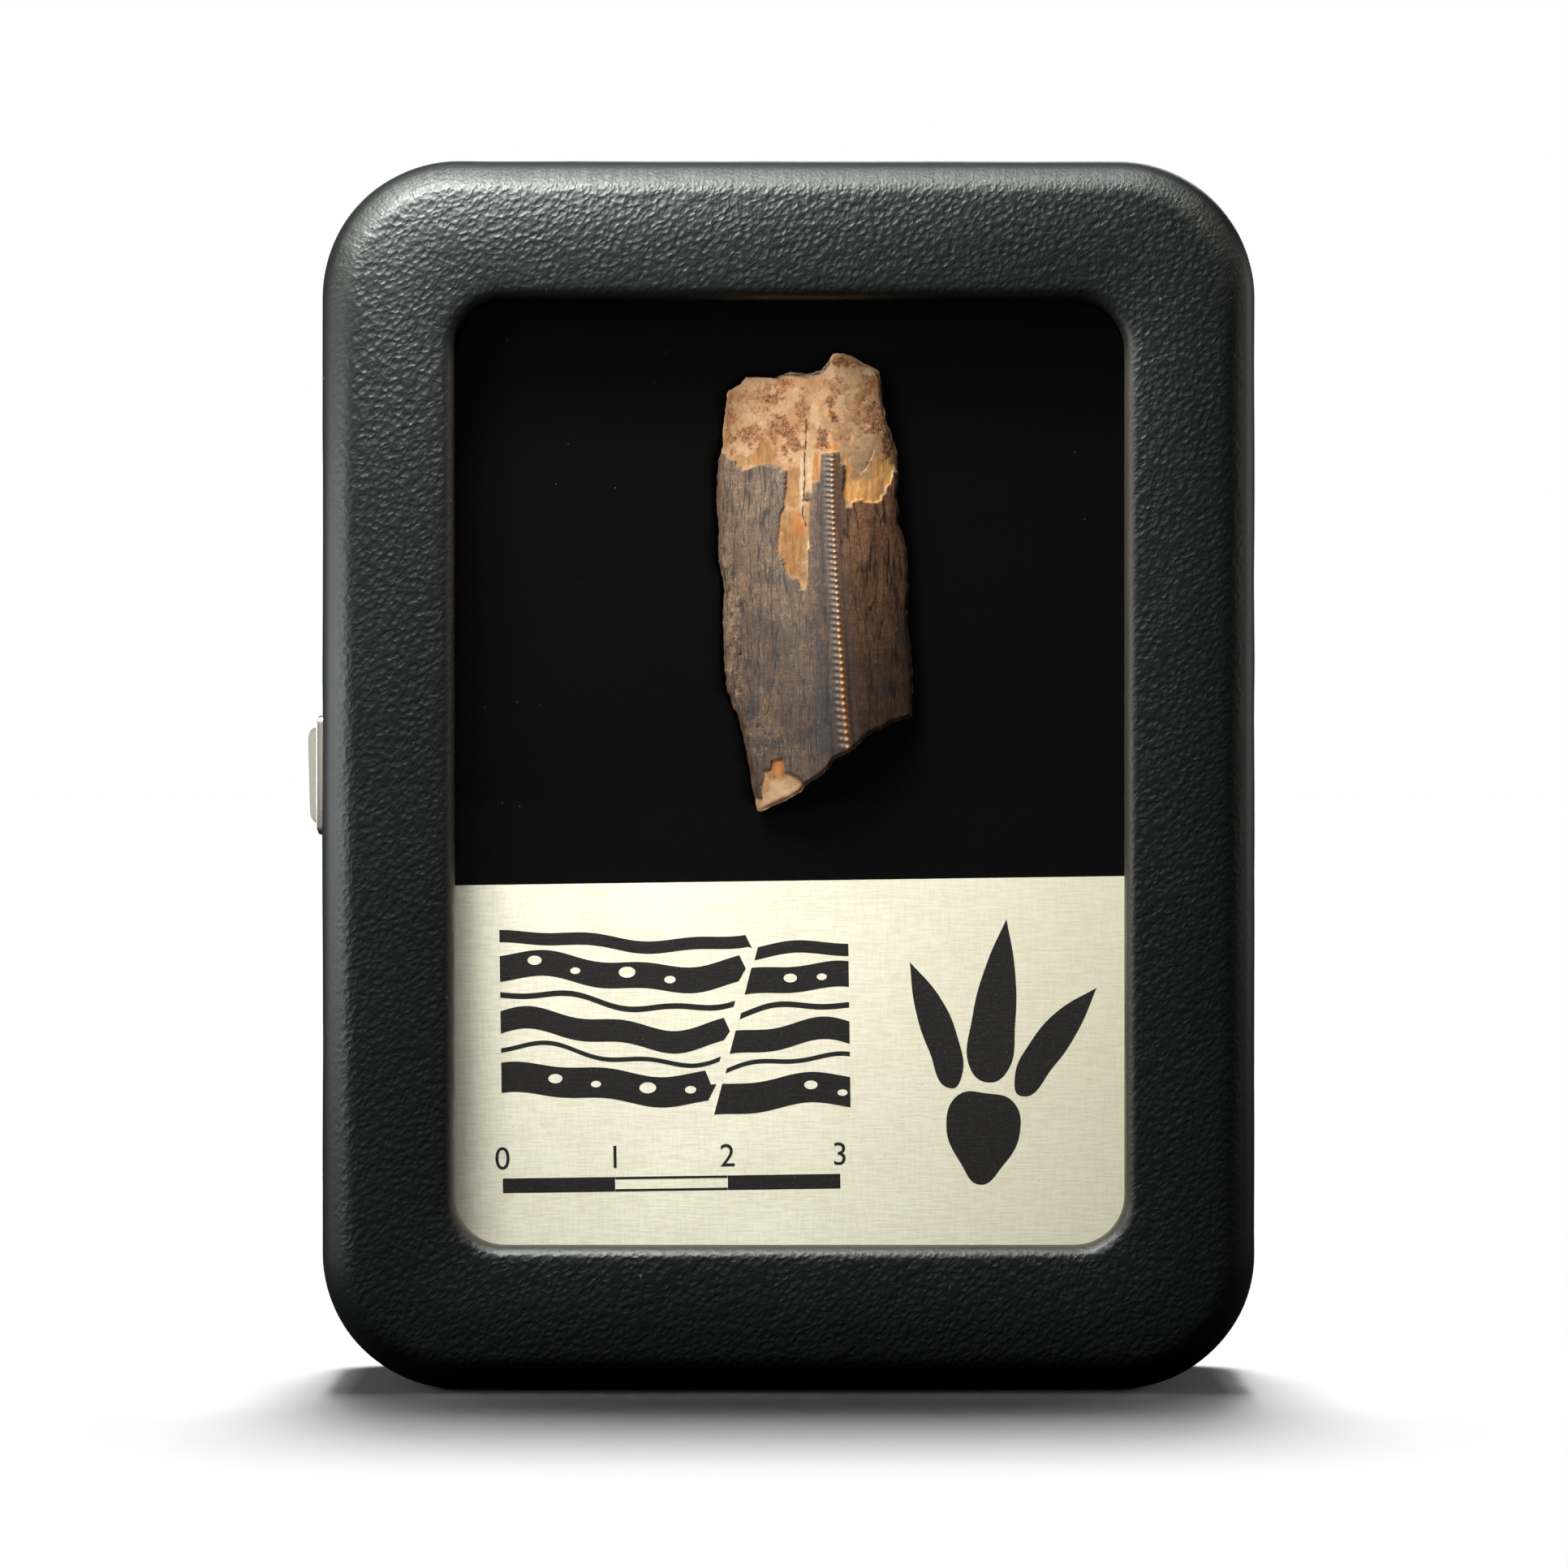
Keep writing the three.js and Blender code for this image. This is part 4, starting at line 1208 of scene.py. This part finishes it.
crest = hump(aside, 0, 0.17) * enamel
rope = hump(aside, -0.02, 0.45) * enamel * (0.3 + 0.7 * low_share)
groove = hump(aside, 0.7, 0.34) * enamel * (0.2 + 0.8 * low_share)
left_groove = hump(aside, -bar_left - 0.3, 0.3) * enamel
dashes = hump(aside, -0.33 - 0.18 * low_share, 0.14) * bars * bar_cover
serrated = bar_cover * bars * 0.026 + crest * bars * 0.075 + dashes * 0.03 + rope * 0.16
serrated = serrated - groove * 0.045 - left_groove * 0.04

crack = 1 - ramp(distance_to(CRACK, x + rough(x, z, (0.05, 0.4, 31)), z), 0.03, 0.1)
yellow = patches(YELLOW_STAINS, x, z, 0.25, 41)
orange = patches(ORANGE_STAINS, x, z, 0.35, 43)
rust = patches(RUST_PATCHES, x, z, 0.6, 45)
smoke = patches(SMOKY_PATCHES, x, z, 0.5, 47)
pitted = patches(PITTED_PATCHES, x, z, 0.5, 49)
pale = patches(PALE_PATCHES, x, z, 0.3, 50)
pits = ramp(rough(x, z, (1, 0.17, 51), (0.5, 0.4, 52)), 0.55, 0.85) * pitted
ledge = 1 - ramp(distance_to(LEDGE, x, z), 0.2, 0.36)
crust = ramp(rough(x, z, (1, 0.27, 53), (0.5, 0.13, 54)), 0.1, 0.7) * rust * (1 - enamel)
worn = rough(x, z, (0.09, 2.6, 55), (0.05, 1.1, 56), (0.02, 0.4, 57))
fluted = rough(x, z * 0.08, (0.012, 0.55, 58)) + rough(x, z * 0.15, (0.02, 1.5, 59))
ripples = rough(x * 0.15, z, (0.008, 0.5, 60))
height = step_height + serrated - 0.1 * crack - 0.1 * pits - 0.05 * crust - 0.35 * ledge
height = height + np.where(bare, worn - 0.05, fluted + ripples)
height = height - 0.3 * (1 - ramp(from_edge, 0, 0.45)) ** 2 * (1 + rough(x, z, (0.5, 0.6, 61)))
front = np.maximum(front - height, tooth_low.y / MM - 0.15)

x_middle, z_middle = x.mean(), z.mean()
x_back = x_middle + (x - x_middle) * (1 - BACK_TAPER)
z_back = z_middle + (z - z_middle) * (1 - BACK_TAPER / 2)
rear = tooth_high.y / MM - 0.35 * (1 + np.sin(1.7 * x_back + 0.9 * z_back) * np.cos(0.8 * z_back))
rear = rear - 0.17 - rough(x_back, z_back, (0.12, 1.2, 62), (0.05, 0.45, 63))


def rim_order(grid):
    """The values round a grid's border: along the bottom, up, back along the top and down."""
    return np.concatenate([grid[0, :-1], grid[:-1, -1], grid[-1, :0:-1], grid[:0:-1, 0]])


index = np.arange(FRONT_COLUMNS * FRONT_ROWS).reshape(FRONT_ROWS, FRONT_COLUMNS)
quads = [index[:-1, :-1], index[:-1, 1:], index[1:, 1:], index[1:, :-1]]
faces = np.stack([part.ravel() for part in quads], axis=-1).tolist()
points = [np.stack([x, front, z], axis=-1).reshape(-1, 3)]
ring = rim_order(index)
rim_x, rim_z, rim_front = rim_order(x), rim_order(z), rim_order(front)
rim_x_back, rim_z_back, rim_rear = rim_order(x_back), rim_order(z_back), rim_order(rear)
away = np.stack([rim_x - x_middle, rim_z - z_middle], axis=-1)
away = away / np.linalg.norm(away, axis=-1, keepdims=True)
count = index.size
for step in range(1, SKIRT_RINGS + 1):
    share = step / (SKIRT_RINGS + 1)
    depth = rim_front + (rim_rear - rim_front) * share
    layered = rough(depth, rim_x + rim_z * 0.7, (1, 0.7, 64)) + rough(rim_x - rim_z, depth, (0.7, 0.9, 65))
    inset = 0.16 * (layered - 0.6) * math.sin(math.pi * share) ** 0.5
    across = rim_x + (rim_x_back - rim_x) * share + away[:, 0] * inset
    upward = rim_z + (rim_z_back - rim_z) * share + away[:, 1] * inset
    points.append(np.stack([across, depth, upward], axis=-1))
    next_ring = np.arange(count, count + ring.size)
    sides = [ring, next_ring, np.roll(next_ring, -1), np.roll(ring, -1)]
    faces += np.stack(sides, axis=-1).tolist()
    ring, count = next_ring, count + ring.size
every = (slice(None, None, BACK_EVERY), slice(None, None, BACK_EVERY))
points.append(np.stack([x_back[every], rear[every], z_back[every]], axis=-1).reshape(-1, 3))
back_index = np.arange(count, count + x_back[every].size).reshape(x_back[every].shape)
back_ring = rim_order(back_index)
ahead = np.roll(back_ring, -1)
coming = np.roll(ring, -2)
faces += np.stack([ring[::2], back_ring, ahead, coming[::2], ring[1::2]], axis=-1).tolist()
quads = [back_index[:-1, :-1], back_index[1:, :-1], back_index[1:, 1:], back_index[:-1, 1:]]
faces += np.stack([part.ravel() for part in quads], axis=-1).tolist()
points = np.concatenate(points)

tooth_mesh = bpy.data.meshes.new("crown_fragment")
tooth_mesh.from_pydata((points * MM).tolist(), [], faces)
crown = bpy.data.objects.new("crown_fragment", tooth_mesh)
bpy.context.collection.objects.link(crown)
signed_gap = np.where(bare, -1, 1) * enamel_gap
fields = {
    "edge": np.clip(signed_gap, -1.5, 1.5), "aside": np.clip(aside, -3, 3), "phase": serration,
    "low": low_share, "toothed": ramp(z, SERRATED_LOW, SERRATED_LOW + 0.4) * (z < SERRATED_TOP),
    "crack": np.clip(distance_to(CRACK, x, z), 0, 1), "yellow": yellow, "orange": orange, "rust": rust,
    "smoke": smoke, "pitted": pitted, "pits": np.maximum(pits, crust * 0.5), "pale": pale, "ledge": ledge,
    "scratch": np.clip(distance_to(SCRATCH, x, z), 0, 1),
    "flank": np.clip(aside / 8, -1, 1) * 0.5 + 0.5, "rim": 1 - ramp(from_edge, 0.0, 0.3),
    "broken": np.zeros(x.shape),
}
off_face = {
    "flank": 0.5, "rim": 1.0, "aside": 3.0, "edge": 1.5, "crack": 1.0, "scratch": 1.0, "broken": 1.0,
}
for name, field in fields.items():
    values = np.full(len(points), off_face.get(name, 0.0), np.float32)
    values[:index.size] = field.ravel()
    tooth_mesh.attributes.new(name, "FLOAT", "POINT").data.foreach_set("value", values)


def fossil():
    """Brown-grey enamel with fine lengthwise lines, over cream dentine stained yellow and rust."""
    finish, place = start_finish("fossil")
    wavy = place.shaken(1.2, 0.12)

    def lines(across, up, detail=3.0):
        return wavy.stretched(across, 1, up).clouds(detail)

    def ridge(value, middle, width):
        """Rises to 1 where the value is at the middle, and falls off over that width."""
        off = (value - middle) * (1 / width)
        return off.math("EXPONENT", off * off * -1)

    grit, torn = place.clouds(3.0, 0.14), place.clouds(4.0, 0.24)
    mottle, patchy = place.clouds(5.0, 1.0), place.clouds(4.0, 3.2)
    fine, broad, growth = lines(0.15, 0.9, 5.0), lines(0.7, 4.0), lines(1.5, 0.12)
    fissures = ridge(lines(1.0, 8.0, 2.0), 0.5, 0.02) + ridge(lines(0.55, 4.0, 1.0), 0.56, 0.014) * 0.6
    chips = place.shaken(0.6, 0.2).stretched(0.34, 0.5, 0.62)
    chips = chips.cells({"distance": "CHEBYCHEV"}, output="Color")
    height = place.add("SeparateXYZ", {}, {0: place}, "Z").step(0.053, 0.084)

    edge = place.field("edge") + (torn - 0.5) * 0.14
    enamel = edge.step(-0.02, 0.025)
    broken = place.field("broken")
    right = place.field("flank").step(0.2, 0.6)
    pitted = place.field("pitted") * (grit * 0.5 + mottle * 0.5).step(0.45, 0.6)
    # painted glints: pale flecks that stand in for highlights, mostly on the left flank, which faces the
    # light
    painted_glints = (fine * 0.55 + grit * 0.5).step(0.585, 0.65) * patchy.step(0.35, 0.6) * (1 - right * 0.8)
    # The enamel is darker on the right flank: partly its own browner colour, partly painted shade on the
    # side turned from the light. It is also darker towards the bottom.
    left_tone = mixed(height, paint(66, 50, 38), paint(86, 68, 53))
    glaze_tone = coated(
        mixed(right, left_tone, mixed(height, paint(36, 23, 15), paint(102, 72, 50))),
        (broad.step(0.3, 0.7), 0.84, 1.2),
        (patchy.step(0.3, 0.7), 0.75, 1.25),
        (fine.step(0.3, 0.7), 0.82, 1.18),
        (growth.step(0.3, 0.7), 0.82, 1.15),
        (chips, 0.88, 1.12),
        (mottle.step(0.48, 0.7) * 0.5, paint(72, 49, 33)),
        (torn.step(0.36, 0.62), 0.8, 1.2),
        ((1 - fine.step(0.28, 0.4)) * 0.22, paint(26, 20, 17)),
        ((fissures * broad.step(0.2, 0.5) * 0.9).held(), paint(24, 19, 17)),
        ((place.field("smoke") + (mottle - 0.5) * 0.8).step(0.15, 0.9) * 0.6, paint(32, 32, 36)),
        (pitted * 0.6, paint(128, 108, 86)),
        (painted_glints * 0.24, paint(166, 146, 124)),
    )

    aside, low = place.field("aside"), place.field("low")
    turn = (place.field("phase") + aside * -0.2) * (2 * math.pi)
    bars = turn.math("COSINE", turn) * 0.5 + 0.5
    toothed = place.field("toothed") * enamel
    bed = aside.step(-1.5, -0.8) * (1 - aside.step(0.3, 1.6)) * toothed
    groove = ridge(aside, 0.6, 0.22) * toothed * (low * 0.75 + 0.25)
    painted_crest_glints = ridge(aside, 0.0, 0.12) * (bars * bars) * toothed
    dashes = ridge(aside + low * 0.18, -0.33, 0.11) * bars * toothed
    bridge = aside.step(-0.95, -0.5) * (1 - aside.step(-0.2, 0.0)) * (bars * bars) * toothed
    rope = ridge(aside, 0.06, 0.3) * (low * 0.6 + 0.5).held() * toothed
    glaze_tone = coated(
        glaze_tone,
        (bed * 0.5, mixed(low, paint(46, 41, 39), paint(48, 38, 32))),
        # painted shade: the groove beside the ridge is coloured near black
        (groove * 0.8, paint(19, 16, 15)),
        (rope * 0.85, mixed(bars, paint(96, 58, 34), paint(146, 98, 60))),
        (bridge * 0.22, mixed(low, paint(96, 84, 76), paint(92, 88, 86))),
        # painted highlights: pale dashes beside the ridge and bright dots on its crest
        (dashes * 0.45, mixed(low, paint(112, 98, 86), paint(108, 102, 98))),
        (painted_crest_glints * 0.95, mixed(low, paint(198, 172, 144), paint(178, 132, 90))),
    )

    grain = lines(0.3, 1.6, 4.0)
    rust = place.field("rust")
    yellow, orange, pale = (place.field(name) + (mottle - 0.5) * torn_by for name, torn_by in (
        ("yellow", 0.5), ("orange", 0.7), ("pale", 0.5),
    ))
    yellow_tone = coated(
        mixed(grain.step(0.34, 0.66), paint(160, 108, 60), paint(190, 142, 84)),
        (place.field("flank").step(0.25, 0.62), 0.44, 1.05),
    )
    crumbs = mixed(mottle, paint(122, 70, 34), paint(90, 54, 32))
    scratch = 1 - (place.field("scratch") + (torn - 0.5) * 0.12).step(0.03, 0.07)
    bare_tone = coated(
        mixed(patchy.step(0.35, 0.65), paint(141, 107, 73), paint(163, 131, 99)),
        (mottle.step(0.3, 0.7), 0.8, 1.15),
        (lines(0.3, 2.6).step(0.5, 0.7) * 0.25, paint(132, 92, 58)),
        ((mottle * 0.6 + torn * 0.5).step(0.54, 0.66) * 0.5, paint(118, 80, 50)),
        (yellow.step(0.0, 0.85), yellow_tone),
        (orange.step(0.2, 0.9) * 0.5, mixed(grain, paint(136, 74, 22), paint(168, 102, 38))),
        (pale.step(0.1, 1.0) * 0.75, paint(180, 156, 128)),
        ((rust * 0.75 + mottle * 0.8 - 0.45).step(0.0, 0.45) * 0.6, paint(130, 84, 48)),
        ((rust * 0.24 + torn * 0.9).step(0.6, 0.68) * 0.6, crumbs),
        ((rust * 0.2 + grit * 0.9).step(0.665, 0.73) * 0.9, paint(46, 31, 23)),
        # painted shadow: the dentine is darkened just below the enamel's step
        ((edge + 0.12).step(0.0, 0.11), 1.0, 0.7),
        (scratch * 0.85, paint(216, 196, 166)),
    )

    split = 1 - (place.field("crack") + (torn - 0.5) * 0.08).step(0.03, 0.07)
    layers = place.stretched(1.6, 0.22, 0.14).clouds(4.0)
    chipped = place.field("rim") * grit.step(0.35, 0.6)
    tone = coated(
        mixed(enamel, bare_tone, glaze_tone),
        # painted highlight: a pale line just inside the enamel's broken edge
        (ridge(edge, 0.05, 0.03) * 0.2, paint(120, 98, 78)),
        (place.field("pits") * 0.8, paint(26, 20, 17)),
        (split * 0.9, paint(30, 24, 22)),
        (chipped * 0.6, mixed(enamel, paint(178, 146, 110), paint(98, 72, 52))),
        # the ledge is dark partly as painted shade on its slanted break, striped with paler layers
        (place.field("ledge") * 0.9, mixed(layers.step(0.5, 0.62), paint(34, 28, 24), paint(150, 124, 98))),
        (broken, mixed(layers.step(0.35, 0.65), paint(52, 39, 30), paint(122, 94, 70))),
    )

    glaze = enamel * (1 - broken)
    relief = fine * 0.32 + growth * 0.25 + chips * 0.1 + grit * (0.4 + (1 - glaze) * 0.5)
    relief = relief + painted_crest_glints * 2.0 + dashes * 0.9 + bridge * 0.5 - groove * toothed * 0.8 - split * 1.5
    return set_surface(finish, {
        "Base Color": tone,
        "Roughness": 0.82 - glaze * 0.38 + grit * 0.12 - painted_crest_glints * 0.1 + groove * 0.3,
        "Specular IOR Level": 0.38,
        "Normal": relief.bump(0.035),
    })


tooth_mesh.materials.append(fossil())
tidy_surface(crown, crease=60)
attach(crown, "base")
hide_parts("tooth")


# ---- clasp: a nickel spring leaf on the lid, which snaps over a bead on the base ----
# The plate is let into the covering on the lid's left side. A wide tongue is pressed out of it and
# bulges over the bead. It is stamped from sheet, tumbled smooth and plated.
PLATE_SHEET = 0.6 * MM
PLATE_SETBACK = 0.5 * MM
PLATE_EDGE = 0.12 * MM
PLATE_CORNER = 0.7 * MM
SLOT_WIDTH = 0.3 * MM
SLOT_CORNER = 0.1 * MM
SLOT_FLOOR = 0.15 * MM
TONGUE_WIDTH = 8.5 * MM
TONGUE_SHEET = 0.5 * MM
TONGUE_ROOT = -7.3 * MM
TONGUE_SHOULDER = -3.6 * MM
TONGUE_EDGE = 0.1 * MM
TONGUE_EASE = 0.6 * MM
TONGUE_LEAN = 0.11 * MM
TONGUE_BULGE = 0.45 * MM
TONGUE_LIP = 0.45 * MM
PLATE_TAPER = 0.2 * MM
tab_low, tab_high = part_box("clasp_tab")
tab_middle_z = (tab_low.z + tab_high.z) / 2
plate_outside = tab_high.x - PLATE_SHEET
plate_back = PARTING - PLATE_SETBACK


def nickel(name, warmth):
    """Plated nickel, brushed by wear, with a few dull spots."""
    finish, place = start_finish(name)
    brushed = place.stretched(2.4, 0.05, 0.05).clouds(3.0)
    spots = place.clouds(4.0, 0.7)
    dull = spots.step(0.55, 0.72)
    return set_surface(finish, {
        "Base Color": mixed(dull * 0.6, warmth, paint(150, 142, 130)),
        "Metallic": 1 - dull * 0.12,
        "Roughness": 0.24 + brushed * 0.14 + dull * 0.14,
        "Normal": (brushed + spots * 0.5).bump(0.008),
    })


def stamped_plate(name, low, high, edge):
    """A flat plate on the case's left side, with rounded corners and eased outer edges."""
    piece = start_piece(name)
    add_block(low, high, PLATE_CORNER, 6, along=0)
    round_end(low[0], edge, 3, along=0)
    put_down()
    return piece


bright = nickel("bright_nickel", paint(214, 208, 196))
tab_end = Vector((tab_high.x, plate_back, tab_high.z))
tab = stamped_plate("clasp_leaf", (plate_outside, tab_low.y, tab_low.z), tab_end, PLATE_EDGE)
for side in (-1, 1):
    slot = start_piece("slot")
    middle_z = tab_middle_z + side * (TONGUE_WIDTH / 2 + SLOT_WIDTH / 2)
    low = (plate_outside - MM, TONGUE_ROOT, middle_z - SLOT_WIDTH / 2)
    high = (tab_high.x - SLOT_FLOOR, plate_back + MM, middle_z + SLOT_WIDTH / 2)
    add_block(low, high, SLOT_CORNER, 2)
    put_down()
    combine(tab, slot)
bpy.ops.object.select_all(action="DESELECT")
bpy.ops.mesh.primitive_grid_add(x_subdivisions=28, y_subdivisions=54, size=1)
tongue = bpy.context.object
for vert in tongue.data.vertices:
    back, up = vert.co.x + 0.5, vert.co.y * 2
    y = TONGUE_ROOT - 0.2 * MM + (tab_high.y - TONGUE_ROOT + 0.1 * MM) * back
    swell = smooth_step(y, TONGUE_ROOT, TONGUE_SHOULDER)
    lip = smooth_step(y, tab_high.y - 1.2 * MM, tab_high.y)
    out = plate_outside + (tab_low.x - TONGUE_BULGE - plate_outside) * swell
    out += (TONGUE_EASE * abs(up) ** 14 + TONGUE_LEAN * (1 - up)) * swell + TONGUE_LIP * lip
    vert.co = (out, y, tab_middle_z + up * TONGUE_WIDTH / 2)
solid = tongue.modifiers.new("sheet", "SOLIDIFY")
solid.thickness = TONGUE_SHEET
solid.offset = 1
bpy.ops.object.modifier_apply(modifier=solid.name)
take_up()
bpy.ops.mesh.normals_make_consistent()
put_down()
eased = tongue.modifiers.new("eased", "BEVEL")
eased.width = TONGUE_EDGE
eased.segments = 3
eased.limit_method = "ANGLE"
eased.angle_limit = math.radians(50)
bpy.ops.object.modifier_apply(modifier=eased.name)
combine(tab, tongue, "UNION")
for vert in tab.data.vertices:
    beyond = abs(vert.co.z - tab_middle_z) - TONGUE_WIDTH / 2 - SLOT_WIDTH
    if vert.co.x < tab_high.x - 0.3 * MM and beyond > 0:
        vert.co.x += PLATE_TAPER * beyond / (tab_high.z - tab_middle_z - TONGUE_WIDTH / 2 - SLOT_WIDTH)
tidy_surface(tab, crease=40)
tab.data.materials.append(bright)
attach(tab, "lid")
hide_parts("clasp_tab")

CATCH_SHEET = 0.3 * MM
CATCH_EDGE = 0.1 * MM
BEAD_RADIUS = 0.42 * MM
BEAD_LENGTH = 5.6 * MM
BEAD_END = 0.25 * MM
catch_low, catch_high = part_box("clasp_catch")
catch_face = Vector((catch_high.x - CATCH_SHEET, catch_low.y, catch_low.z))
catch = stamped_plate("clasp_catch_plate", catch_face, catch_high, CATCH_EDGE)
bpy.ops.object.select_all(action="DESELECT")
bpy.ops.mesh.primitive_cylinder_add(
    vertices=32, radius=BEAD_RADIUS, depth=BEAD_LENGTH,
    location=(catch_low.x + BEAD_RADIUS, PARTING + 1.5 * MM, tab_middle_z),
)
bead = bpy.context.object
bpy.ops.object.transform_apply()
bpy.ops.object.mode_set(mode="EDIT")
pick("edges", lambda place, run: abs(run.z) < NEAR, everywhere=True)
bevel(BEAD_END, 4)
put_down()
combine(catch, bead, "UNION")
tidy_surface(catch, crease=40)
catch.data.materials.append(bright)
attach(catch, "base")
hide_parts("clasp_catch")


# ---- hinges: two small nickel hinges between the rims, their leaves glued into sunk seats ----
# Each has a leaf in the lid and one in the base, rolled into knuckles round a steel pin.
leaf_metal = nickel("worn_nickel", paint(190, 182, 168))
pin_metal = nickel("pin_steel", paint(170, 168, 164))
for place in ("lower", "upper"):
    give_finish(f"hinge_leaf_base_{place}", leaf_metal)
    give_finish(f"hinge_leaf_lid_{place}", leaf_metal)
    give_finish(f"hinge_pin_{place}", pin_metal)


# ---- studio: a white floor under three suns, and soft lamps from above and from the left ----
FLOOR_SIZE = 40.0
OVERHEAD_STRENGTH = 3.7
OVERHEAD = {"wide": (19, 32, 0.34), "steep": (13, 12, 0.26), "low": (23, 13, 0.40)}
SOFT_LAMPS = (
    # name, strength, colour, place, aim, size
    ("high", 0.36, (1, 0.985, 0.96), (-30, -120, 240), (0, 0, 90), (60, 60)),
    ("above", 0.56, (1, 1, 0.99), (0, -40, 300), (0, -5, 105), (200, 120)),
    ("left", 0.155, (1, 1, 0.99), (-170, -30, 62), (-40, -5, 45), (140, 60)),
    ("corner", 0.27, (1, 1, 0.97), (-140, -60, 240), (-40, -8, 100), (100, 100)),
    ("glint", 0.19, (1, 0.99, 0.97), (-44, -58, 145), (-20, -8, 100), (50, 38)),
    ("right", 0.055, (1, 0.96, 0.88), (200, 60, 95), (40, 0, 80), (80, 120)),
    ("window", 0.12, (1, 0.985, 0.96), (-60, -110, 105), (0, 0, 55), (50, 50)),
    ("side_sheen", 0.045, (1, 0.99, 0.95), (-150, 120, 54), (-42, -5, 54), (160, 160)),
    ("front_sheen", 0.06, (1, 1, 1), (-60, -300, 54), (-42, -5, 54), (160, 160)),
    ("behind", 0.5, (1, 1, 1), (60, 300, 200), (0, 12, 54), (160, 160)),
    ("foot_left", 0.0003, (1, 1, 1), (-54, -21, 11), (-42, -16, 0), (10, 8)),
    ("foot_right", 0.0003, (1, 1, 1), (54, -21, 11), (42, -16, 0), (10, 8)),
    ("under_left", 0.0026, (1, 1, 1), (-75, 20, 12), (-38, -12, 0), (16, 10)),
    ("under_right", 0.0026, (1, 1, 1), (75, 20, 12), (38, -12, 0), (16, 10)),
)

bpy.ops.object.select_all(action="DESELECT")
bpy.ops.mesh.primitive_plane_add(size=FLOOR_SIZE)
floor = bpy.context.object
floor.name = "floor"
floor_finish, floor_place = start_finish("floor")
bounced = mixed(floor_place.ray("Glossy"), grey(0.2), grey(0.02))
set_surface(floor_finish, {
    "Base Color": mixed(floor_place.seen(), bounced, grey(0.9)),
    "Roughness": 0.9,
    "Specular IOR Level": 0.0,
})
floor.data.materials.append(floor_finish)


def add_lamp(name, kind, strength, colour, place, aim):
    data = bpy.data.lights.new(name, kind)
    data.energy = strength
    data.color = colour
    lamp = bpy.data.objects.new(name, data)
    lamp.location = place
    lamp.rotation_euler = (Vector(aim) - Vector(place)).to_track_quat("-Z", "Y").to_euler()
    bpy.context.collection.objects.link(lamp)
    return lamp


def group(name, pieces):
    collection = bpy.data.collections.new(name)
    for piece in pieces:
        collection.objects.link(piece)
    return collection


floor_only = group("floor_only", [floor])
all_but_floor = group("all_but_floor", [floor])
prints = [piece for piece in bpy.data.objects if piece.name.startswith("printed_")]
inside_only = group("inside_only", [pad, card, crown, *prints])
nickel_only = group("nickel_only", [tab, catch])
receivers = {"side_sheen": nickel_only, "front_sheen": nickel_only, "window": inside_only}
for place in ("foot", "under"):
    receivers.update({f"{place}_left": floor_only, f"{place}_right": floor_only})
for name, (tilt, angle, share) in OVERHEAD.items():
    above = (0, math.sin(math.radians(tilt)), math.cos(math.radians(tilt)))
    sun = add_lamp(f"backdrop_{name}", "SUN", OVERHEAD_STRENGTH * share, (1, 1, 1), above, (0, 0, 0))
    sun.data.angle = math.radians(angle)
    sun.light_linking.receiver_collection = floor_only
for name, strength, colour, *spots in SOFT_LAMPS:
    place, aim, size = (Vector(spot) * MM for spot in spots)
    lamp = add_lamp(name, "AREA", strength, colour, place, aim)
    lamp.data.shape = "RECTANGLE"
    lamp.data.size, lamp.data.size_y = size
    lamp.visible_camera = False
    lamp.light_linking.receiver_collection = receivers.get(name, all_but_floor)
all_but_floor.collection_objects[0].light_linking.link_state = "EXCLUDE"

world = bpy.data.worlds.new("studio")
world.use_nodes = True
bpy.context.scene.world = world
air = Wire(world.node_tree)
dim = mixed(air.ray("Glossy"), grey(0.02), grey(0.015))
air.feed(world.node_tree.nodes["Background"].inputs["Color"], mixed(air.seen(), dim, grey(1)))
bpy.context.scene.view_settings.view_transform = "Standard"
